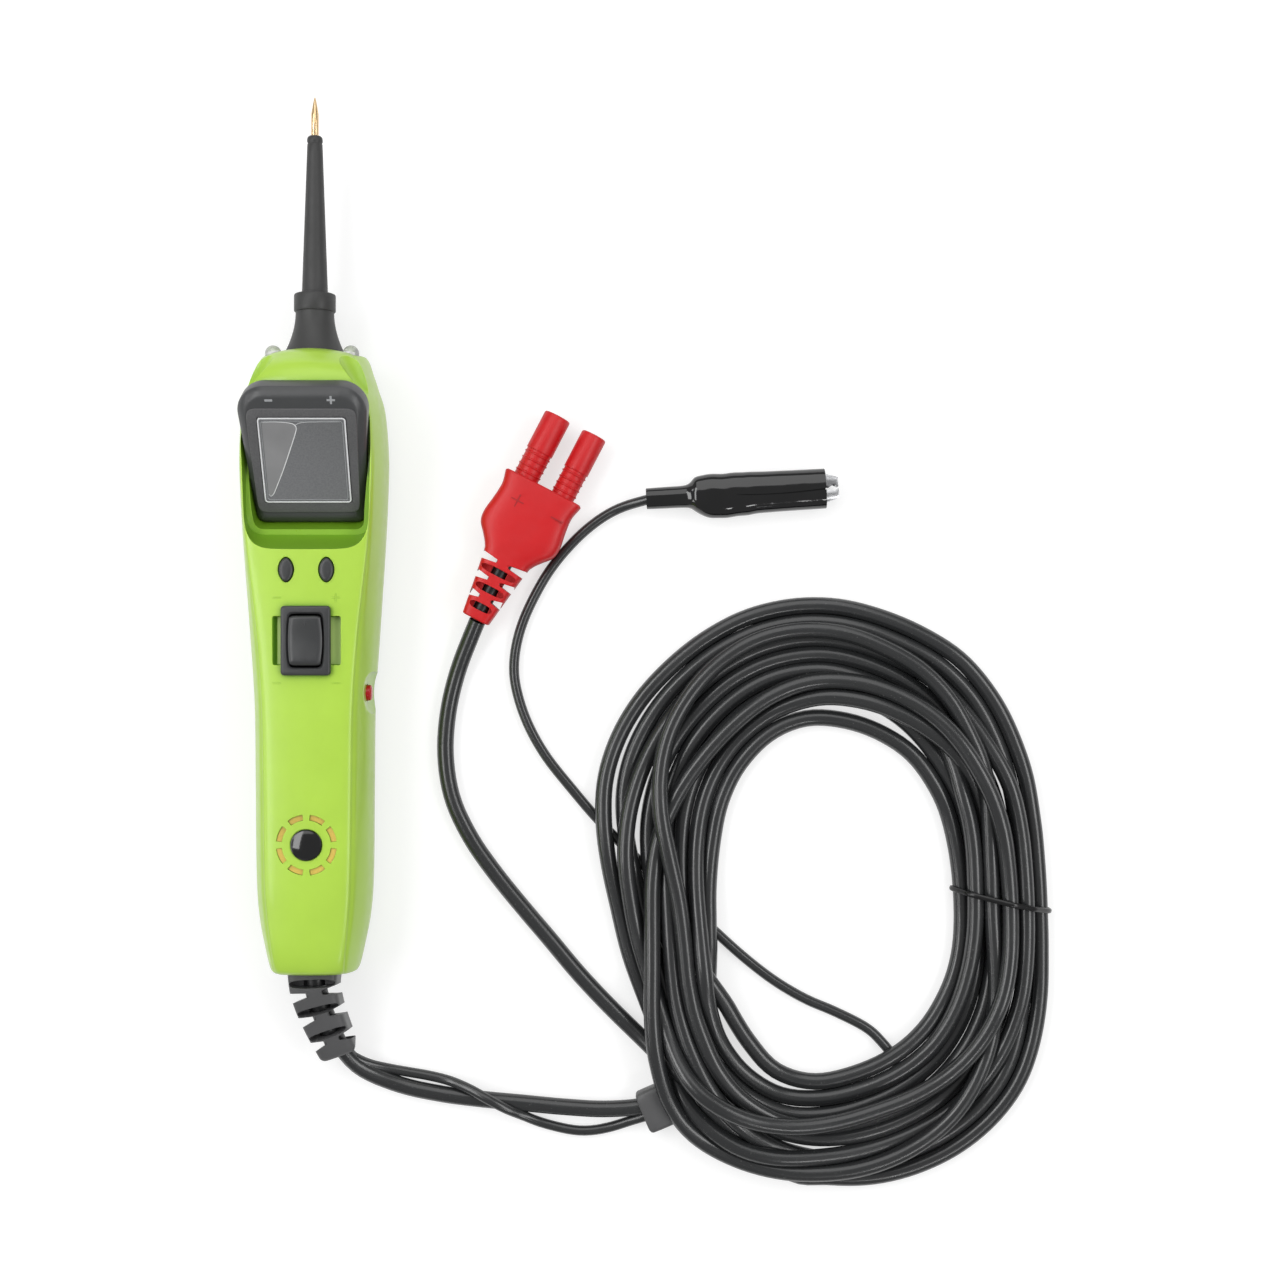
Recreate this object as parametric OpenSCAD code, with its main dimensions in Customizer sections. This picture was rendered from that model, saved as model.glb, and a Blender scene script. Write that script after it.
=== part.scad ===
/* [Housing] */
// Distance from the tail wall to the front wall of the housing
case_l = 191; // [180:1:205]
// Width across the display head
head_w = 45; // [43:0.5:50]
// Width of the grip behind the rocker switch
grip_w = 36.2; // [34:0.2:40]
// Width of the tail end
tail_w = 26; // [24:0.5:29]
// Height of the front face above the rear face
grip_h = 29.5; // [28.5:0.5:34]
// Height of the seam between the two shells
seam_h = 14; // [13.5:0.1:14.6]
// Wall of the two shells
wall = 2; // [1.6:0.1:2.4]

/* [Display] */
// Slope of the display face
display_tilt = 28; // [24:1:32]
// Width of the display bezel at its upper end
bezel_w = 38.6; // [37:0.2:39.4]
// Length of the display bezel along its slope
bezel_l = 44; // [42:0.5:45]
// Width of the window
lens_w = 26.5; // [24:0.5:28]
// Length of the window along the slope
lens_l = 29; // [26:0.5:30]

/* [Controls] */
// Width of the rocker switch flange
rocker_flange_w = 15; // [14.5:0.1:16]
// Length of the rocker switch flange
rocker_flange_l = 21; // [20.6:0.1:22]
// Width of the rocker
rocker_w = 10.8; // [10:0.1:11]
// Length of the rocker
rocker_l = 15.4; // [14.5:0.1:15.6]
// Distance between the two oval buttons
button_pitch = 12.2; // [11:0.1:13.5]
// Width of an oval button
button_w = 4.4; // [4:0.1:5]
// Length of an oval button
button_l = 7.2; // [6.6:0.1:8]
// Travel of an oval button
button_travel = 0.5; // [0.3:0.1:0.6]
// Diameter of the round reset button
reset_d = 4.9; // [4.4:0.1:5.4]
// Travel of the reset button
reset_travel = 1.5; // [1:0.1:1.8]

/* [Sounder] */
// Outer diameter of the ring of sound slots
slot_ring_d = 18.4; // [17.6:0.2:19]
// Width of a sound slot
slot_w = 1.75; // [1.4:0.05:2]
// Number of sound slots
slot_count = 8; // [6:1:10]
// Diameter of the badge in the middle
badge_d = 9.4; // [8:0.2:10]

/* [Probe] */
// Diameter of the brass probe rod
probe_d = 2.34; // [2:0.02:2.6]
// Length of bare brass in front of the sleeve
tip_l = 12.1; // [8:0.1:14]
// Length of the long tapered sleeve
sleeve_l = 48.9; // [40:0.5:56]
// Diameter of the sleeve at its rear end
sleeve_d = 8.1; // [7.6:0.1:9]
// Length of the flared nozzle with its collar
nozzle_l = 18.2; // [17:0.2:22]
// Diameter of the nozzle where it leaves the housing
nozzle_d = 18.4; // [17.6:0.1:18.8]
// Diameter of the two lamps
lamp_d = 5; // [4.6:0.1:5]

/* [Leads] */
// Diameter of the power lead
power_d = 5; // [4.6:0.1:5.4]
// Diameter of the ground lead
ground_d = 3.2; // [2.8:0.1:3.4]
// Height of the coiled power lead
coil_h = 13; // [12:0.5:18]
// Length of the ribbed cable boot
boot_l = 26; // [24:0.5:28]

/* [Plug] */
// Distance between the two sockets of the plug
socket_pitch = 12.9; // [12.4:0.1:13.4]
// Outside diameter of the positive socket
socket_plus_d = 8.7; // [8.3:0.1:9]
// Outside diameter of the negative socket
socket_minus_d = 8.2; // [7.8:0.1:8.6]
// Length of a socket in front of the plug body
socket_l = 21.8; // [19:0.2:24]
// Bore of the brass contacts, for 4 mm plugs
contact_bore_d = 4; // [4:0.05:4.1]
// Thickness of the plug body
plug_h = 11.6; // [11:0.2:13]

/* [Clip] */
// Length of the clip from its cable end to the jaw tips
clip_l = 60; // [56:0.5:64]
// Height of the clip jaws across the opening
clip_w = 10; // [9.4:0.1:10.6]
// Thickness of the sheet steel of the jaws
jaw_sheet = 0.7; // [0.6:0.05:0.8]
// Number of teeth along each jaw
tooth_count = 5; // [4:1:6]

/* [Hidden] */
$fn = 48;

// Gap between parts that seat in each other, and between parts that slide
seat = 0.15;
slide_gap = 0.25;
eps = 0.01;

// Places along the housing, with the whole tester centred on the origin
total_l = case_l + nozzle_l + sleeve_l + tip_l;
tail_y = -total_l / 2;
neck_y = tail_y + case_l;
display_y = neck_y - 34.35;
button_y = neck_y - 67.7;
rocker_y = neck_y - 89.1;
reset_y = neck_y - 105.2;
sounder_y = tail_y + 40.2;
face_z = grip_h;
lamp_x = nozzle_d / 2 + lamp_d / 2 + 0.25;
neck_half = lamp_x + lamp_d / 2 + 1.35;

// Stations of the shells: along, half width, ridge half width, ridge height,
// crown height and rear height
STATIONS = [
    [tail_y, tail_w / 2, tail_w / 2 - 3.4, face_z - 7, face_z - 5.2, 2.6],
    [tail_y + 1.5, tail_w / 2 + 0.7, tail_w / 2 - 2.8, face_z - 4.8, face_z - 3.2, 1],
    [tail_y + 7, tail_w / 2 + 2, tail_w / 2 - 2.2, face_z - 3, face_z - 1.6, 0],
    [tail_y + 17, grip_w / 2 - 1.2, tail_w / 2 - 1.2, face_z - 1.9, face_z - 0.7, 0],
    [tail_y + 30, grip_w / 2 - 0.3, grip_w / 2 - 5.5, face_z - 1.3, face_z - 0.1, 0],
    [sounder_y + 20, grip_w / 2, grip_w / 2 - 5.1, face_z - 1.2, face_z, 0],
    [reset_y - 3, grip_w / 2 + 0.3, grip_w / 2 - 4.7, face_z - 1.1, face_z, 0],
    [rocker_y + 3, head_w / 2 - 2.7, head_w / 2 - 7.5, face_z - 0.9, face_z + 0.1, 0],
    [button_y + 6, head_w / 2 - 1.1, head_w / 2 - 4.7, face_z - 0.5, face_z + 0.3, 0],
    [display_y - 12, head_w / 2 - 0.3, head_w / 2 - 3.5, face_z + 0.3, face_z + 1.1, 0],
    [display_y + 2, head_w / 2, head_w / 2 - 3.1, face_z + 0.9, face_z + 2.1, 0],
    [display_y + 16, head_w / 2 - 1.1, head_w / 2 - 4.2, face_z + 2.4, face_z + 4.8, 0],
    [neck_y - 11, head_w / 2 - 3.2, head_w / 2 - 6.5, face_z + 3.2, face_z + 5.9, 0],
    [neck_y - 6, neck_half + 1.9, neck_half - 1.5, face_z + 0.6, face_z + 3.7, 0.3],
    [neck_y - 2.5, neck_half + 1, neck_half - 2.4, face_z - 3.5, face_z + 0.4, 1.4],
    [neck_y, neck_half, neck_half - 3.4, face_z - 7, face_z - 2.9, 3]
];
STEPS = 2;

// Display frame: origin in the middle of the face, Y up the slope, Z out of it
display_z = face_z + 2.5;
bezel_low_w = bezel_w - 5.6;
bezel_depth = 7.6;
bezel_bevel = 2.4;
tub_floor = bezel_depth + 0.1;
tub_side_l = 17;
tub_neck_l = 9.4;

// Rocker switch
flange_h = 1.7;
flange_z = face_z + 0.15;
rocker_z = flange_z - 2.6;
rocker_pin_r = 1.2;
switch_body_w = rocker_flange_w - 2.1;
switch_body_l = rocker_flange_l - 1.7;
switch_body_h = 12.5;

// Boards
board_t = 1.6;
board_z = 6;
board_w = grip_w - 10.2;
board_low_y = sounder_y + 8;
board_high_y = display_y + 8;
board_hole_low = 3;
board_hole_high = 12;
post_x = board_w / 2 - 4;
ribbon_w = lens_w - 10.5;
button_board_z = face_z - 8.9;
button_board_w = 29.2;
button_board_l = 14;
button_cap_z = face_z + 0.9;
button_flange_z = face_z - wall - 1.05;

// Screws: places of the two pairs
SCREWS = [
    [16, display_y + 12], [-16, display_y + 12],
    [6.5, tail_y + 17], [-6.5, tail_y + 17]
];
screw_r = 1.1;
screw_head_r = 2.6;
screw_seat_z = 5;
screw_head_h = 2;
boss_r = 3.1;

// Probe
probe_r = probe_d / 2;
rod_inside = 31.5;
nozzle_flange_r = 10.1;
collar_l = 5.6;
collar_r = sleeve_d / 2 + 2.35;
lamp_z = seam_h + 5;

// Scoop of the reset button
scoop_depth = 2;
scoop_l = 12;
scoop_h = 13;

// Sounder
disc_r = slot_ring_d / 2 + 1.4;
seat_z = face_z - 3.1;

// Cable boot: axis points leaving the tail wall
BOOT = [
    [0, tail_y + 0.2, seam_h], [0, tail_y - 0.2 * boot_l, seam_h],
    [1, tail_y - 0.42 * boot_l, seam_h - 1], [2.4, tail_y - 0.62 * boot_l, seam_h - 2.4],
    [4.2, tail_y - 0.81 * boot_l, seam_h - 4.2], [6.4, tail_y - boot_l, seam_h - 6.2]
];
boot_w = 16.4;
boot_t = 13.6;

// Routes of the leads, as middles of the cord
POWER_ROUTE = [
    [5, -159, 8.5], [7, -163, 7.4], [11, -167, 5.6], [17, -170, 3.8], [29, -173, 2.6],
    [43, -176, 2.6], [57, -179, 2.6], [71, -181, 2.6], [85, -182, 2.6], [98, -181, 3.2],
    [106, -178, 3.5], [116, -173, 3.5]
];
POWER_END_ROUTE = [
    [50, -27, 5.8], [47, -33, 4.4], [43.6, -41.5, 2.8], [40.4, -54, 2.6], [39.2, -67, 2.6],
    [40.7, -80.4, 2.6], [45.6, -92.6, 2.6], [53, -104, 2.6], [62, -115.4, 2.6], [71.5, -126.6, 2.6],
    [80.5, -137.4, 2.6], [89.4, -147, 2.6], [99.2, -156.6, 2.6], [110, -166, 2.8]
];
GROUND_ROUTE = [
    [2, -158, 7.6], [4, -163, 5.8], [9, -168, 3.4], [17, -172, 1.8], [29, -175, 1.8],
    [42, -179, 1.8], [52, -183, 1.8], [60, -186, 1.8], [72, -189, 1.8], [85, -189, 1.8],
    [97, -187, 2.2], [108, -183, 3.4], [118, -179, 2.2], [132, -182, 1.8], [150, -188, 1.8],
    [166, -189, 1.8], [178, -184.5, 1.8], [183.5, -175, 1.8], [181.5, -165.4, 1.8], [176.5, -159.4, 1.8],
    [171.6, -155.2, 1.8], [162.3, -150.5, 1.8], [152.8, -146.4, 1.8], [143.3, -140.8, 1.8],
    [133.9, -133.6, 1.8], [124.4, -125.1, 1.8], [111, -112.6, 1.8], [98, -100.5, 1.8], [88, -90.4, 1.8],
    [79.4, -80.4, 1.8], [70.8, -69.5, 1.8], [65, -59, 1.8], [61.6, -48.5, 1.8], [60.9, -40, 1.8],
    [62.6, -30.5, 1.8], [66.4, -21, 1.8], [72.4, -10.6, 1.8], [80, -1.6, 1.8], [87.6, 4.9, 1.8],
    [95, 8.9, 2.4], [104, 11.4, 5.1]
];

// Coil of the power lead
COIL_AT = [158, -112.6];
COIL_HALF = [53.5, 75.5];
coil_band = 30;
TIE_AT = [212.4, -114.4];

// Collar where the two leads part
COLLAR_AT = [106, -180.2, 3.7];
collar_turn = 23;

// Plug frame: origin on the socket side of the body, Y along the sockets
PLUG_AT = [70.6, 14.9, 6];
plug_turn = -27.5;
PLUG_HALF = [
    [13.1, 0, 0.9], [12.2, -5, 0.98], [12.6, -10, 1], [13.3, -15, 1], [12.7, -18.5, 0.98],
    [8.8, -23.4, 0.9], [7.7, -26.2, 0.84], [6, -36, 0.78], [4.4, -46.6, 0.7]
];
contact_wall = 0.9;
contact_depth = 16;

// Clip frame: origin at the cable end, X towards the jaws, Z across the jaws
CLIP_AT = [102.9, 11.4, 5.1];
clip_turn = 3.3;
pivot_x = clip_l - 27;
pivot_r = 1.2;
jaw_w = 7.4;
boot_skin = 0.8;
boot_slit_x = 26;
boot_slit_w = 1.2;

function lerp(a, b, t) = a + (b - a) * t;
// Smooth curve through p1 and p2, with their neighbours p0 and p3
function curve(p0, p1, p2, p3, t) =
    0.5 * ((2 * p1) + (p2 - p0) * t + (2 * p0 - 5 * p1 + 4 * p2 - p3) * t * t
        + (3 * p1 - p0 - 3 * p2 + p3) * t * t * t);
// A list of points or stations with steps - 1 more between neighbours
function refine(p, steps) = [
    for (i = [0 : len(p) - 2], k = [0 : steps - 1])
        curve(p[max(i - 1, 0)], p[i], p[i + 1], p[min(i + 2, len(p) - 1)], k / steps),
    p[len(p) - 1]
];
function unit(v) = v / norm(v);
function heading(p, i) = unit(p[min(i + 1, len(p) - 1)] - p[max(i - 1, 0)]);
function side_of(t) = unit(cross(t, [0, 0, 1]));
// A ring of points of a flat section, stood across the heading t at p
function stand(section, p, t) = [
    for (s = section) p + s[0] * side_of(t) + s[1] * cross(side_of(t), t)
];
function ellipse(a, b, n) = [for (i = [0 : n - 1]) [a * cos(360 * i / n), b * sin(360 * i / n)]];
// A rectangle with its corners cut, as eight points
function chamfered(w, h, c) = [
    [w / 2, h / 2 - c], [w / 2 - c, h / 2], [c - w / 2, h / 2], [-w / 2, h / 2 - c],
    [-w / 2, c - h / 2], [c - w / 2, -h / 2], [w / 2 - c, -h / 2], [w / 2, c - h / 2]
];

// Closed solid through rings with the same number of points
module skin(rings) {
    n = len(rings[0]);
    m = len(rings);
    polyhedron(
        points = [for (r = rings) each r],
        faces = [
            [for (j = [n - 1 : -1 : 0]) j],
            [for (j = [0 : n - 1]) (m - 1) * n + j],
            for (i = [0 : m - 2], j = [0 : n - 1]) let (a = i * n + j, b = i * n + (j + 1) % n)
                each [[a, b, a + n], [b, b + n, a + n]]
        ]
    );
}

// Cord of diameter d along a route
module cord(route, d, sides) {
    path = refine(route, 2);
    skin([for (i = [0 : len(path) - 1])
        stand(ellipse(d / 2, d / 2, sides), path[i], heading(path, i))]);
}

// Right half of a shell section, from the seam to the middle, front or rear
function half_section(s, front) = front
    ? [
        [s[1], seam_h], [lerp(s[1], s[2], 0.18), lerp(seam_h, s[3], 0.4)],
        [lerp(s[1], s[2], 0.62), lerp(seam_h, s[3], 0.82)],
        [lerp(s[1], s[2], 0.88), s[3] - 0.8], [s[2], s[3]],
        [s[2] * 0.84, lerp(s[3], s[4], 0.5)], [s[2] * 0.45, lerp(s[3], s[4], 0.88)], [0, s[4]]
    ]
    : [
        [s[1], seam_h], [s[1] - 0.2, seam_h * 0.62], [s[1] - 1.4, s[5] + 3.2],
        [s[1] - 3.4, s[5] + 0.9], [s[1] - 6, s[5]], [0, s[5]]
    ];
function section(s, front) = let (h = half_section(s, front), n = len(h))
    [each h, for (i = [n - 2 : -1 : 0]) [-h[i][0], h[i][1]]];
// A shell's outer ring at a station, or its inner ring with a wall of t
function shell_ring(s, front, t) =
    let (
        top = front ? s[4] : s[5],
        kx = (s[1] - t) / s[1],
        kz = (abs(top - seam_h) - t) / abs(top - seam_h),
        y = neck_y - t + (s[0] - neck_y) * (case_l - 2 * t) / case_l
    )
    [for (p = section(s, front)) [p[0] * kx, y, seam_h + (p[1] - seam_h) * kz]];

// Half of the housing: outer skin, inner skin and the rim between them
module shell(front) {
    stations = refine(STATIONS, STEPS);
    m = len(stations);
    n = len(section(stations[0], front));
    inner = m * n;
    quads = [
        for (i = [0 : m - 2], j = [0 : n - 2]) let (a = i * n + j)
            each [[a, a + 1, a + n], [a + 1, a + n + 1, a + n]],
        for (i = [0 : m - 2], j = [0 : n - 2]) let (a = inner + i * n + j)
            each [[a, a + n, a + 1], [a + 1, a + n, a + n + 1]],
        for (i = [0 : m - 2]) let (a = i * n, b = inner + i * n)
            each [[a, a + n, b], [b, a + n, b + n]],
        for (i = [0 : m - 2]) let (a = i * n + n - 1, b = inner + i * n + n - 1)
            each [[a, b, a + n], [b, b + n, a + n]]
    ];
    caps = [
        [for (j = [n - 1 : -1 : 0]) j],
        [for (j = [0 : n - 1]) (m - 1) * n + j],
        [for (j = [0 : n - 1]) inner + j],
        [for (j = [n - 1 : -1 : 0]) inner + (m - 1) * n + j],
        [0, inner, inner + n - 1, n - 1],
        [(m - 1) * n, m * n - 1, inner + m * n - 1, inner + (m - 1) * n]
    ];
    faces = concat(quads, caps);
    polyhedron(
        points = [
            for (s = stations) each shell_ring(s, front, 0),
            for (s = stations) each shell_ring(s, front, wall)
        ],
        faces = front ? faces : [for (f = faces) [for (k = [len(f) - 1 : -1 : 0]) f[k]]]
    );
}

// The space inside the outer skin of the front shell
module outer_solid(front) {
    rings = [for (s = refine(STATIONS, STEPS)) shell_ring(s, front, 0)];
    skin(front ? rings : [for (g = rings) [for (k = [len(g) - 1 : -1 : 0]) g[k]]]);
}

module on_display() translate([0, display_y, display_z]) rotate([display_tilt, 0, 0]) children();

// Outline of the bezel in the display frame, grown by e
module bezel_plate(e, low, high) {
    for (x = [-1, 1]) {
        translate([x * (bezel_w / 2 - 8), bezel_l / 2 - 8, low]) cylinder(r = 8 + e, h = high - low, $fn = 32);
        translate([x * (bezel_low_w / 2 - 2.5), 2.5 - bezel_l / 2, low])
            cylinder(r = 2.5 + e, h = high - low, $fn = 32);
    }
}

// Pocket that the display sits in, grown by e, with its sloping lower wall
module display_tub(e) {
    front_half = bezel_low_w / 2 + 1.2 + e;
    hull() {
        on_display() bezel_plate(0.3 + e, -tub_floor - e, 0.3 - tub_floor - e);
        translate([0, 0, face_z + 4.6]) linear_extrude(0.5) polygon([
            [-front_half, button_y + 2 - e], [front_half, button_y + 2 - e],
            [bezel_w / 2 + 1.6 + e, display_y], [bezel_w / 2 + 0.8 + e, display_y + tub_side_l],
            [bezel_w / 2 - 4 + e, neck_y - tub_neck_l + e], [4 + e - bezel_w / 2, neck_y - tub_neck_l + e],
            [-bezel_w / 2 - 0.8 - e, display_y + tub_side_l], [-bezel_w / 2 - 1.6 - e, display_y]
        ]);
    }
}

module front_case() {
    color("yellowgreen") difference() {
        union() {
            shell(true);
            intersection() {
                difference() {
                    display_tub(1.2);
                    translate([0, display_y, 0]) cube([2 * head_w, 3 * bezel_l, 2 * seam_h + 0.4], center = true);
                }
                outer_solid(true);
            }
            translate([0, sounder_y, seat_z]) difference() {
                cylinder(r = disc_r, h = face_z - seat_z - 1);
                translate([0, 0, -1]) cylinder(r = slot_ring_d / 2 + 0.2, h = face_z);
            }
            for (s = SCREWS) translate([s[0], s[1], seam_h + 0.2])
                cylinder(r = boss_r, h = s[1] > 0 ? face_z - seam_h - 3.5 : face_z - seam_h - 2.6);
            reset_pad(1);
            for (x = [-1, 1]) translate([x * 13.2 - 1, button_y - 6, button_board_z + board_t])
                cube([2, 12, face_z - button_board_z - board_t - 1.4]);
        }
        display_tub(0);
        on_display() translate([-ribbon_w / 2 - 1, 3.4 - lens_l / 2 - 1, -tub_floor - 4]) cube([ribbon_w + 2, 5, 8]);
        for (s = SCREWS) translate([s[0], s[1], seam_h - 1]) cylinder(r = screw_r + 0.05, h = 8);
        for (x = [-1, 1]) translate([x * button_pitch / 2, button_y, face_z - 6])
            linear_extrude(12) polygon(ellipse(button_w / 2 + slide_gap, button_l / 2 + slide_gap, 24));
        translate([0, rocker_y, face_z]) {
            cube([switch_body_w + 2 * seat, switch_body_l + 2 * seat, 12], center = true);
            translate([0, 0, 0.6]) cube([rocker_flange_w + 6, rocker_flange_l * 0.7, 3.2], center = true);
        }
        reset_dish();
        translate([0, sounder_y, 0]) {
            for (k = [0 : slot_count - 1]) rotate([0, 0, (k + 0.5) * 360 / slot_count])
                translate([0, 0, seat_z - 1])
                rotate_extrude(angle = 360 / slot_count - 14, start = 7)
                translate([slot_ring_d / 2 - slot_w, 0]) square([slot_w, 8]);
            translate([0, 0, face_z - 0.7]) cylinder(r = badge_d / 2 + seat, h = 4);
        }
        end_openings();
    }
}

// Openings shared by both shells in the front wall and the tail wall
module end_openings() {
    translate([0, neck_y, seam_h]) rotate([90, 0, 0]) cylinder(r = nozzle_d / 2 + seat, h = 8, center = true);
    for (x = [-1, 1]) translate([x * lamp_x, neck_y + 2, lamp_z]) rotate([90, 0, 0])
        cylinder(r = lamp_d / 2 + seat, h = 9);
    translate([0, tail_y, seam_h]) cube([boot_w + 2 * seat, 8, boot_t + 2 * seat], center = true);
}

// Thicker wall behind the scoop, in the shell above the seam or below it
module reset_pad(up) {
    reach = grip_w / 2 - scoop_depth - 2.8;
    intersection() {
        translate([reach, reset_y, seam_h + 1]) rotate([0, 90, 0])
            linear_extrude(3.6) polygon(ellipse(scoop_h - 2, scoop_l / 2 + 0.8, 32));
        translate([0, reset_y, seam_h + up * grip_h]) cube([2 * head_w, scoop_l * 2, 2 * grip_h], center = true);
        outer_solid(up > 0);
    }
}

// Oval scoop in the right flank around the reset button, with the button's hole
module reset_dish() {
    translate([grip_w / 2 + 0.3, reset_y, seam_h + 1]) {
        scale([scoop_depth, scoop_l / 2, scoop_h]) sphere(r = 1, $fn = 32);
        rotate([0, -90, 0]) cylinder(r = reset_d / 2 + slide_gap, h = 8);
    }
}

module rear_case() {
    color("yellowgreen") difference() {
        union() {
            shell(false);
            for (s = SCREWS) translate([s[0], s[1], 1]) cylinder(r = boss_r, h = seam_h - 1 - 0.2);
            for (x = [-1, 1], y = [rocker_y + 12, sounder_y + 14]) translate([x * post_x, y, 1])
                cylinder(r = 2, h = board_z - 1);
            for (x = [-1, 1]) translate([x * post_x, board_high_y - 4, 1])
                cylinder(r = 2, h = board_z - 1);
            reset_pad(-1);
        }
        for (s = SCREWS) translate([s[0], s[1], -1]) {
            cylinder(r = screw_r + 0.3, h = seam_h + 2);
            cylinder(r = screw_head_r + 0.2, h = 1 + screw_seat_z);
        }
        reset_dish();
        end_openings();
    }
}

module case_screws() {
    color("silver") for (s = SCREWS) translate([s[0], s[1], screw_seat_z]) difference() {
        union() {
            translate([0, 0, -screw_head_h]) cylinder(r = screw_head_r, h = screw_head_h);
            translate([0, 0, -eps]) cylinder(r = screw_r, h = seam_h);
        }
        for (a = [0, 90]) rotate([0, 0, a]) translate([-1.6, -0.35, -screw_head_h - 1]) cube([3.2, 0.7, 2]);
    }
}

module display_bezel() {
    color([0.27, 0.28, 0.29]) on_display() difference() {
        union() {
            hull() {
                bezel_plate(0, -bezel_depth, -bezel_bevel);
                bezel_plate(-bezel_bevel, -bezel_bevel, -0.4);
            }
            translate([0, -2, -1]) hull() {
                translate([0, lens_l / 2 + 2, 0.5]) cube([lens_w + 6.4, 2, 1], center = true);
                translate([0, -lens_l / 2 - 2, 0.5]) cube([lens_w + 4.4, 2, 1], center = true);
            }
        }
        translate([0, -1, -bezel_depth / 2 - 2]) cube([lens_w + 3, lens_l + 3, bezel_depth - 0.2], center = true);
        translate([0, -2, 0]) cube([lens_w + 2 * seat, lens_l + 2 * seat, bezel_depth], center = true);
    }
}

module display_lens() {
    color([0.45, 0.47, 0.48]) on_display() translate([0, -2, 0]) {
        translate([-lens_w / 2, -lens_l / 2, -2.8]) cube([lens_w, lens_l, 3.1]);
        translate([-lens_w / 2 - 1, -lens_l / 2 - 0.2, -2.8]) cube([lens_w + 2, lens_l + 0.4, 0.6]);
    }
}

module display_module() {
    color("gainsboro") on_display() translate([0, -2, 0]) difference() {
        translate([-lens_w / 2 - 1, -lens_l / 2 - 0.2, -tub_floor + 0.05])
            cube([lens_w + 2, lens_l + 0.4, tub_floor - 2.9]);
        translate([-ribbon_w / 2, -lens_l / 2 - 1, -tub_floor - 1]) cube([ribbon_w, 3, 4]);
    }
}

module main_board() {
    color("darkgreen") translate([0, 0, board_z]) difference() {
        translate([-board_w / 2, board_low_y, 0]) cube([board_w, board_high_y - board_low_y, board_t]);
        for (y = [board_low_y + board_hole_low, board_high_y - board_hole_high])
            translate([0, y, -1]) cylinder(r = 1.2, h = 4);
    }
}

module button_board() {
    color("darkgreen") translate([-button_board_w / 2, button_y - button_board_l / 2, button_board_z])
        cube([button_board_w, button_board_l, board_t]);
}

module tact_switches() {
    top = button_flange_z - button_travel - 0.2;
    low = button_board_z + board_t;
    color("dimgray") for (x = [-1, 1]) translate([x * button_pitch / 2, button_y, low]) {
        translate([-3, -3, 0]) cube([6, 6, 2.4]);
        translate([0, 0, 2.4 - eps]) cylinder(r = 1.7, h = top - low - 2.4);
    }
}

module mode_button(side) {
    color([0.25, 0.26, 0.27]) translate([side * button_pitch / 2, button_y, 0]) {
        translate([0, 0, button_flange_z + 0.5]) linear_extrude(button_cap_z - 0.5 - button_flange_z - 0.5)
            polygon(ellipse(button_w / 2, button_l / 2, 24));
        hull() {
            translate([0, 0, button_cap_z - 0.8]) linear_extrude(0.2)
                polygon(ellipse(button_w / 2, button_l / 2, 24));
            translate([0, 0, button_cap_z - 0.2]) linear_extrude(0.2)
                polygon(ellipse(button_w / 2 - 0.7, button_l / 2 - 0.8, 24));
        }
        translate([0, 0, button_flange_z]) linear_extrude(0.6)
            polygon(ellipse(button_w / 2 + 0.8, button_l / 2 + 0.8, 24));
    }
}

module rocker_frame() {
    color([0.22, 0.23, 0.24]) translate([0, rocker_y, 0]) difference() {
        union() {
            hull() {
                translate([0, 0, flange_z + flange_h / 4])
                    cube([rocker_flange_w, rocker_flange_l, flange_h / 2], center = true);
                translate([0, 0, flange_z + flange_h / 2])
                    cube([rocker_flange_w - 0.8, rocker_flange_l - 0.8, flange_h], center = true);
            }
            translate([0, 0, flange_z - switch_body_h / 2 + eps])
                cube([switch_body_w, switch_body_l, switch_body_h], center = true);
        }
        translate([0, 0, flange_z - switch_body_h + 2 + 10])
            cube([rocker_w + 2 * slide_gap, rocker_l + 2 * 0.9, 20], center = true);
        translate([0, 0, rocker_z]) rotate([0, 90, 0])
            cylinder(r = rocker_pin_r + 0.06, h = switch_body_w + 2, center = true);
    }
}

module rocker() {
    color([0.2, 0.21, 0.22]) translate([0, rocker_y, rocker_z]) {
        intersection() {
            translate([0, 0, -6]) linear_extrude(14) polygon([
                for (t = [-1 : 0.25 : 1]) [rocker_w / 2 - 0.5 * t * t, t * rocker_l / 2],
                for (t = [1 : -0.25 : -1]) [0.5 * t * t - rocker_w / 2, t * rocker_l / 2]
            ]);
            rotate([90, 0, 90]) linear_extrude(20, center = true) polygon([
                [-rocker_l / 2, 1.5], [-rocker_l / 2 + 0.2, 4.3], [-rocker_l / 2 + 1.6, 5.3], [-3, 5.1],
                [0, 4.9], [3, 5.1], [rocker_l / 2 - 0.9, 5.5], [rocker_l / 2, 4.6],
                [rocker_l / 2, 1.5], [2.6, -2.6], [1, -5.2], [-1, -5.2], [-2.6, -2.6]
            ]);
        }
        rotate([0, 90, 0]) cylinder(r = rocker_pin_r, h = switch_body_w - 0.4, center = true);
    }
}

module rocker_terminals() {
    color("gold") for (k = [-1, 0, 1]) translate([-2.4, rocker_y + k * 6 - 0.4, flange_z - switch_body_h - 5])
        cube([4.8, 0.8, 5]);
}

module breaker_body() {
    low = board_z + board_t;
    color([0.16, 0.17, 0.18]) difference() {
        translate([-4, reset_y - 6, low]) cube([grip_w / 2 - 1, 12, 14.2]);
        translate([2, reset_y, seam_h + 1]) rotate([0, 90, 0]) cylinder(r = reset_d / 2 + 0.06, h = 20);
    }
}

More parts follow.
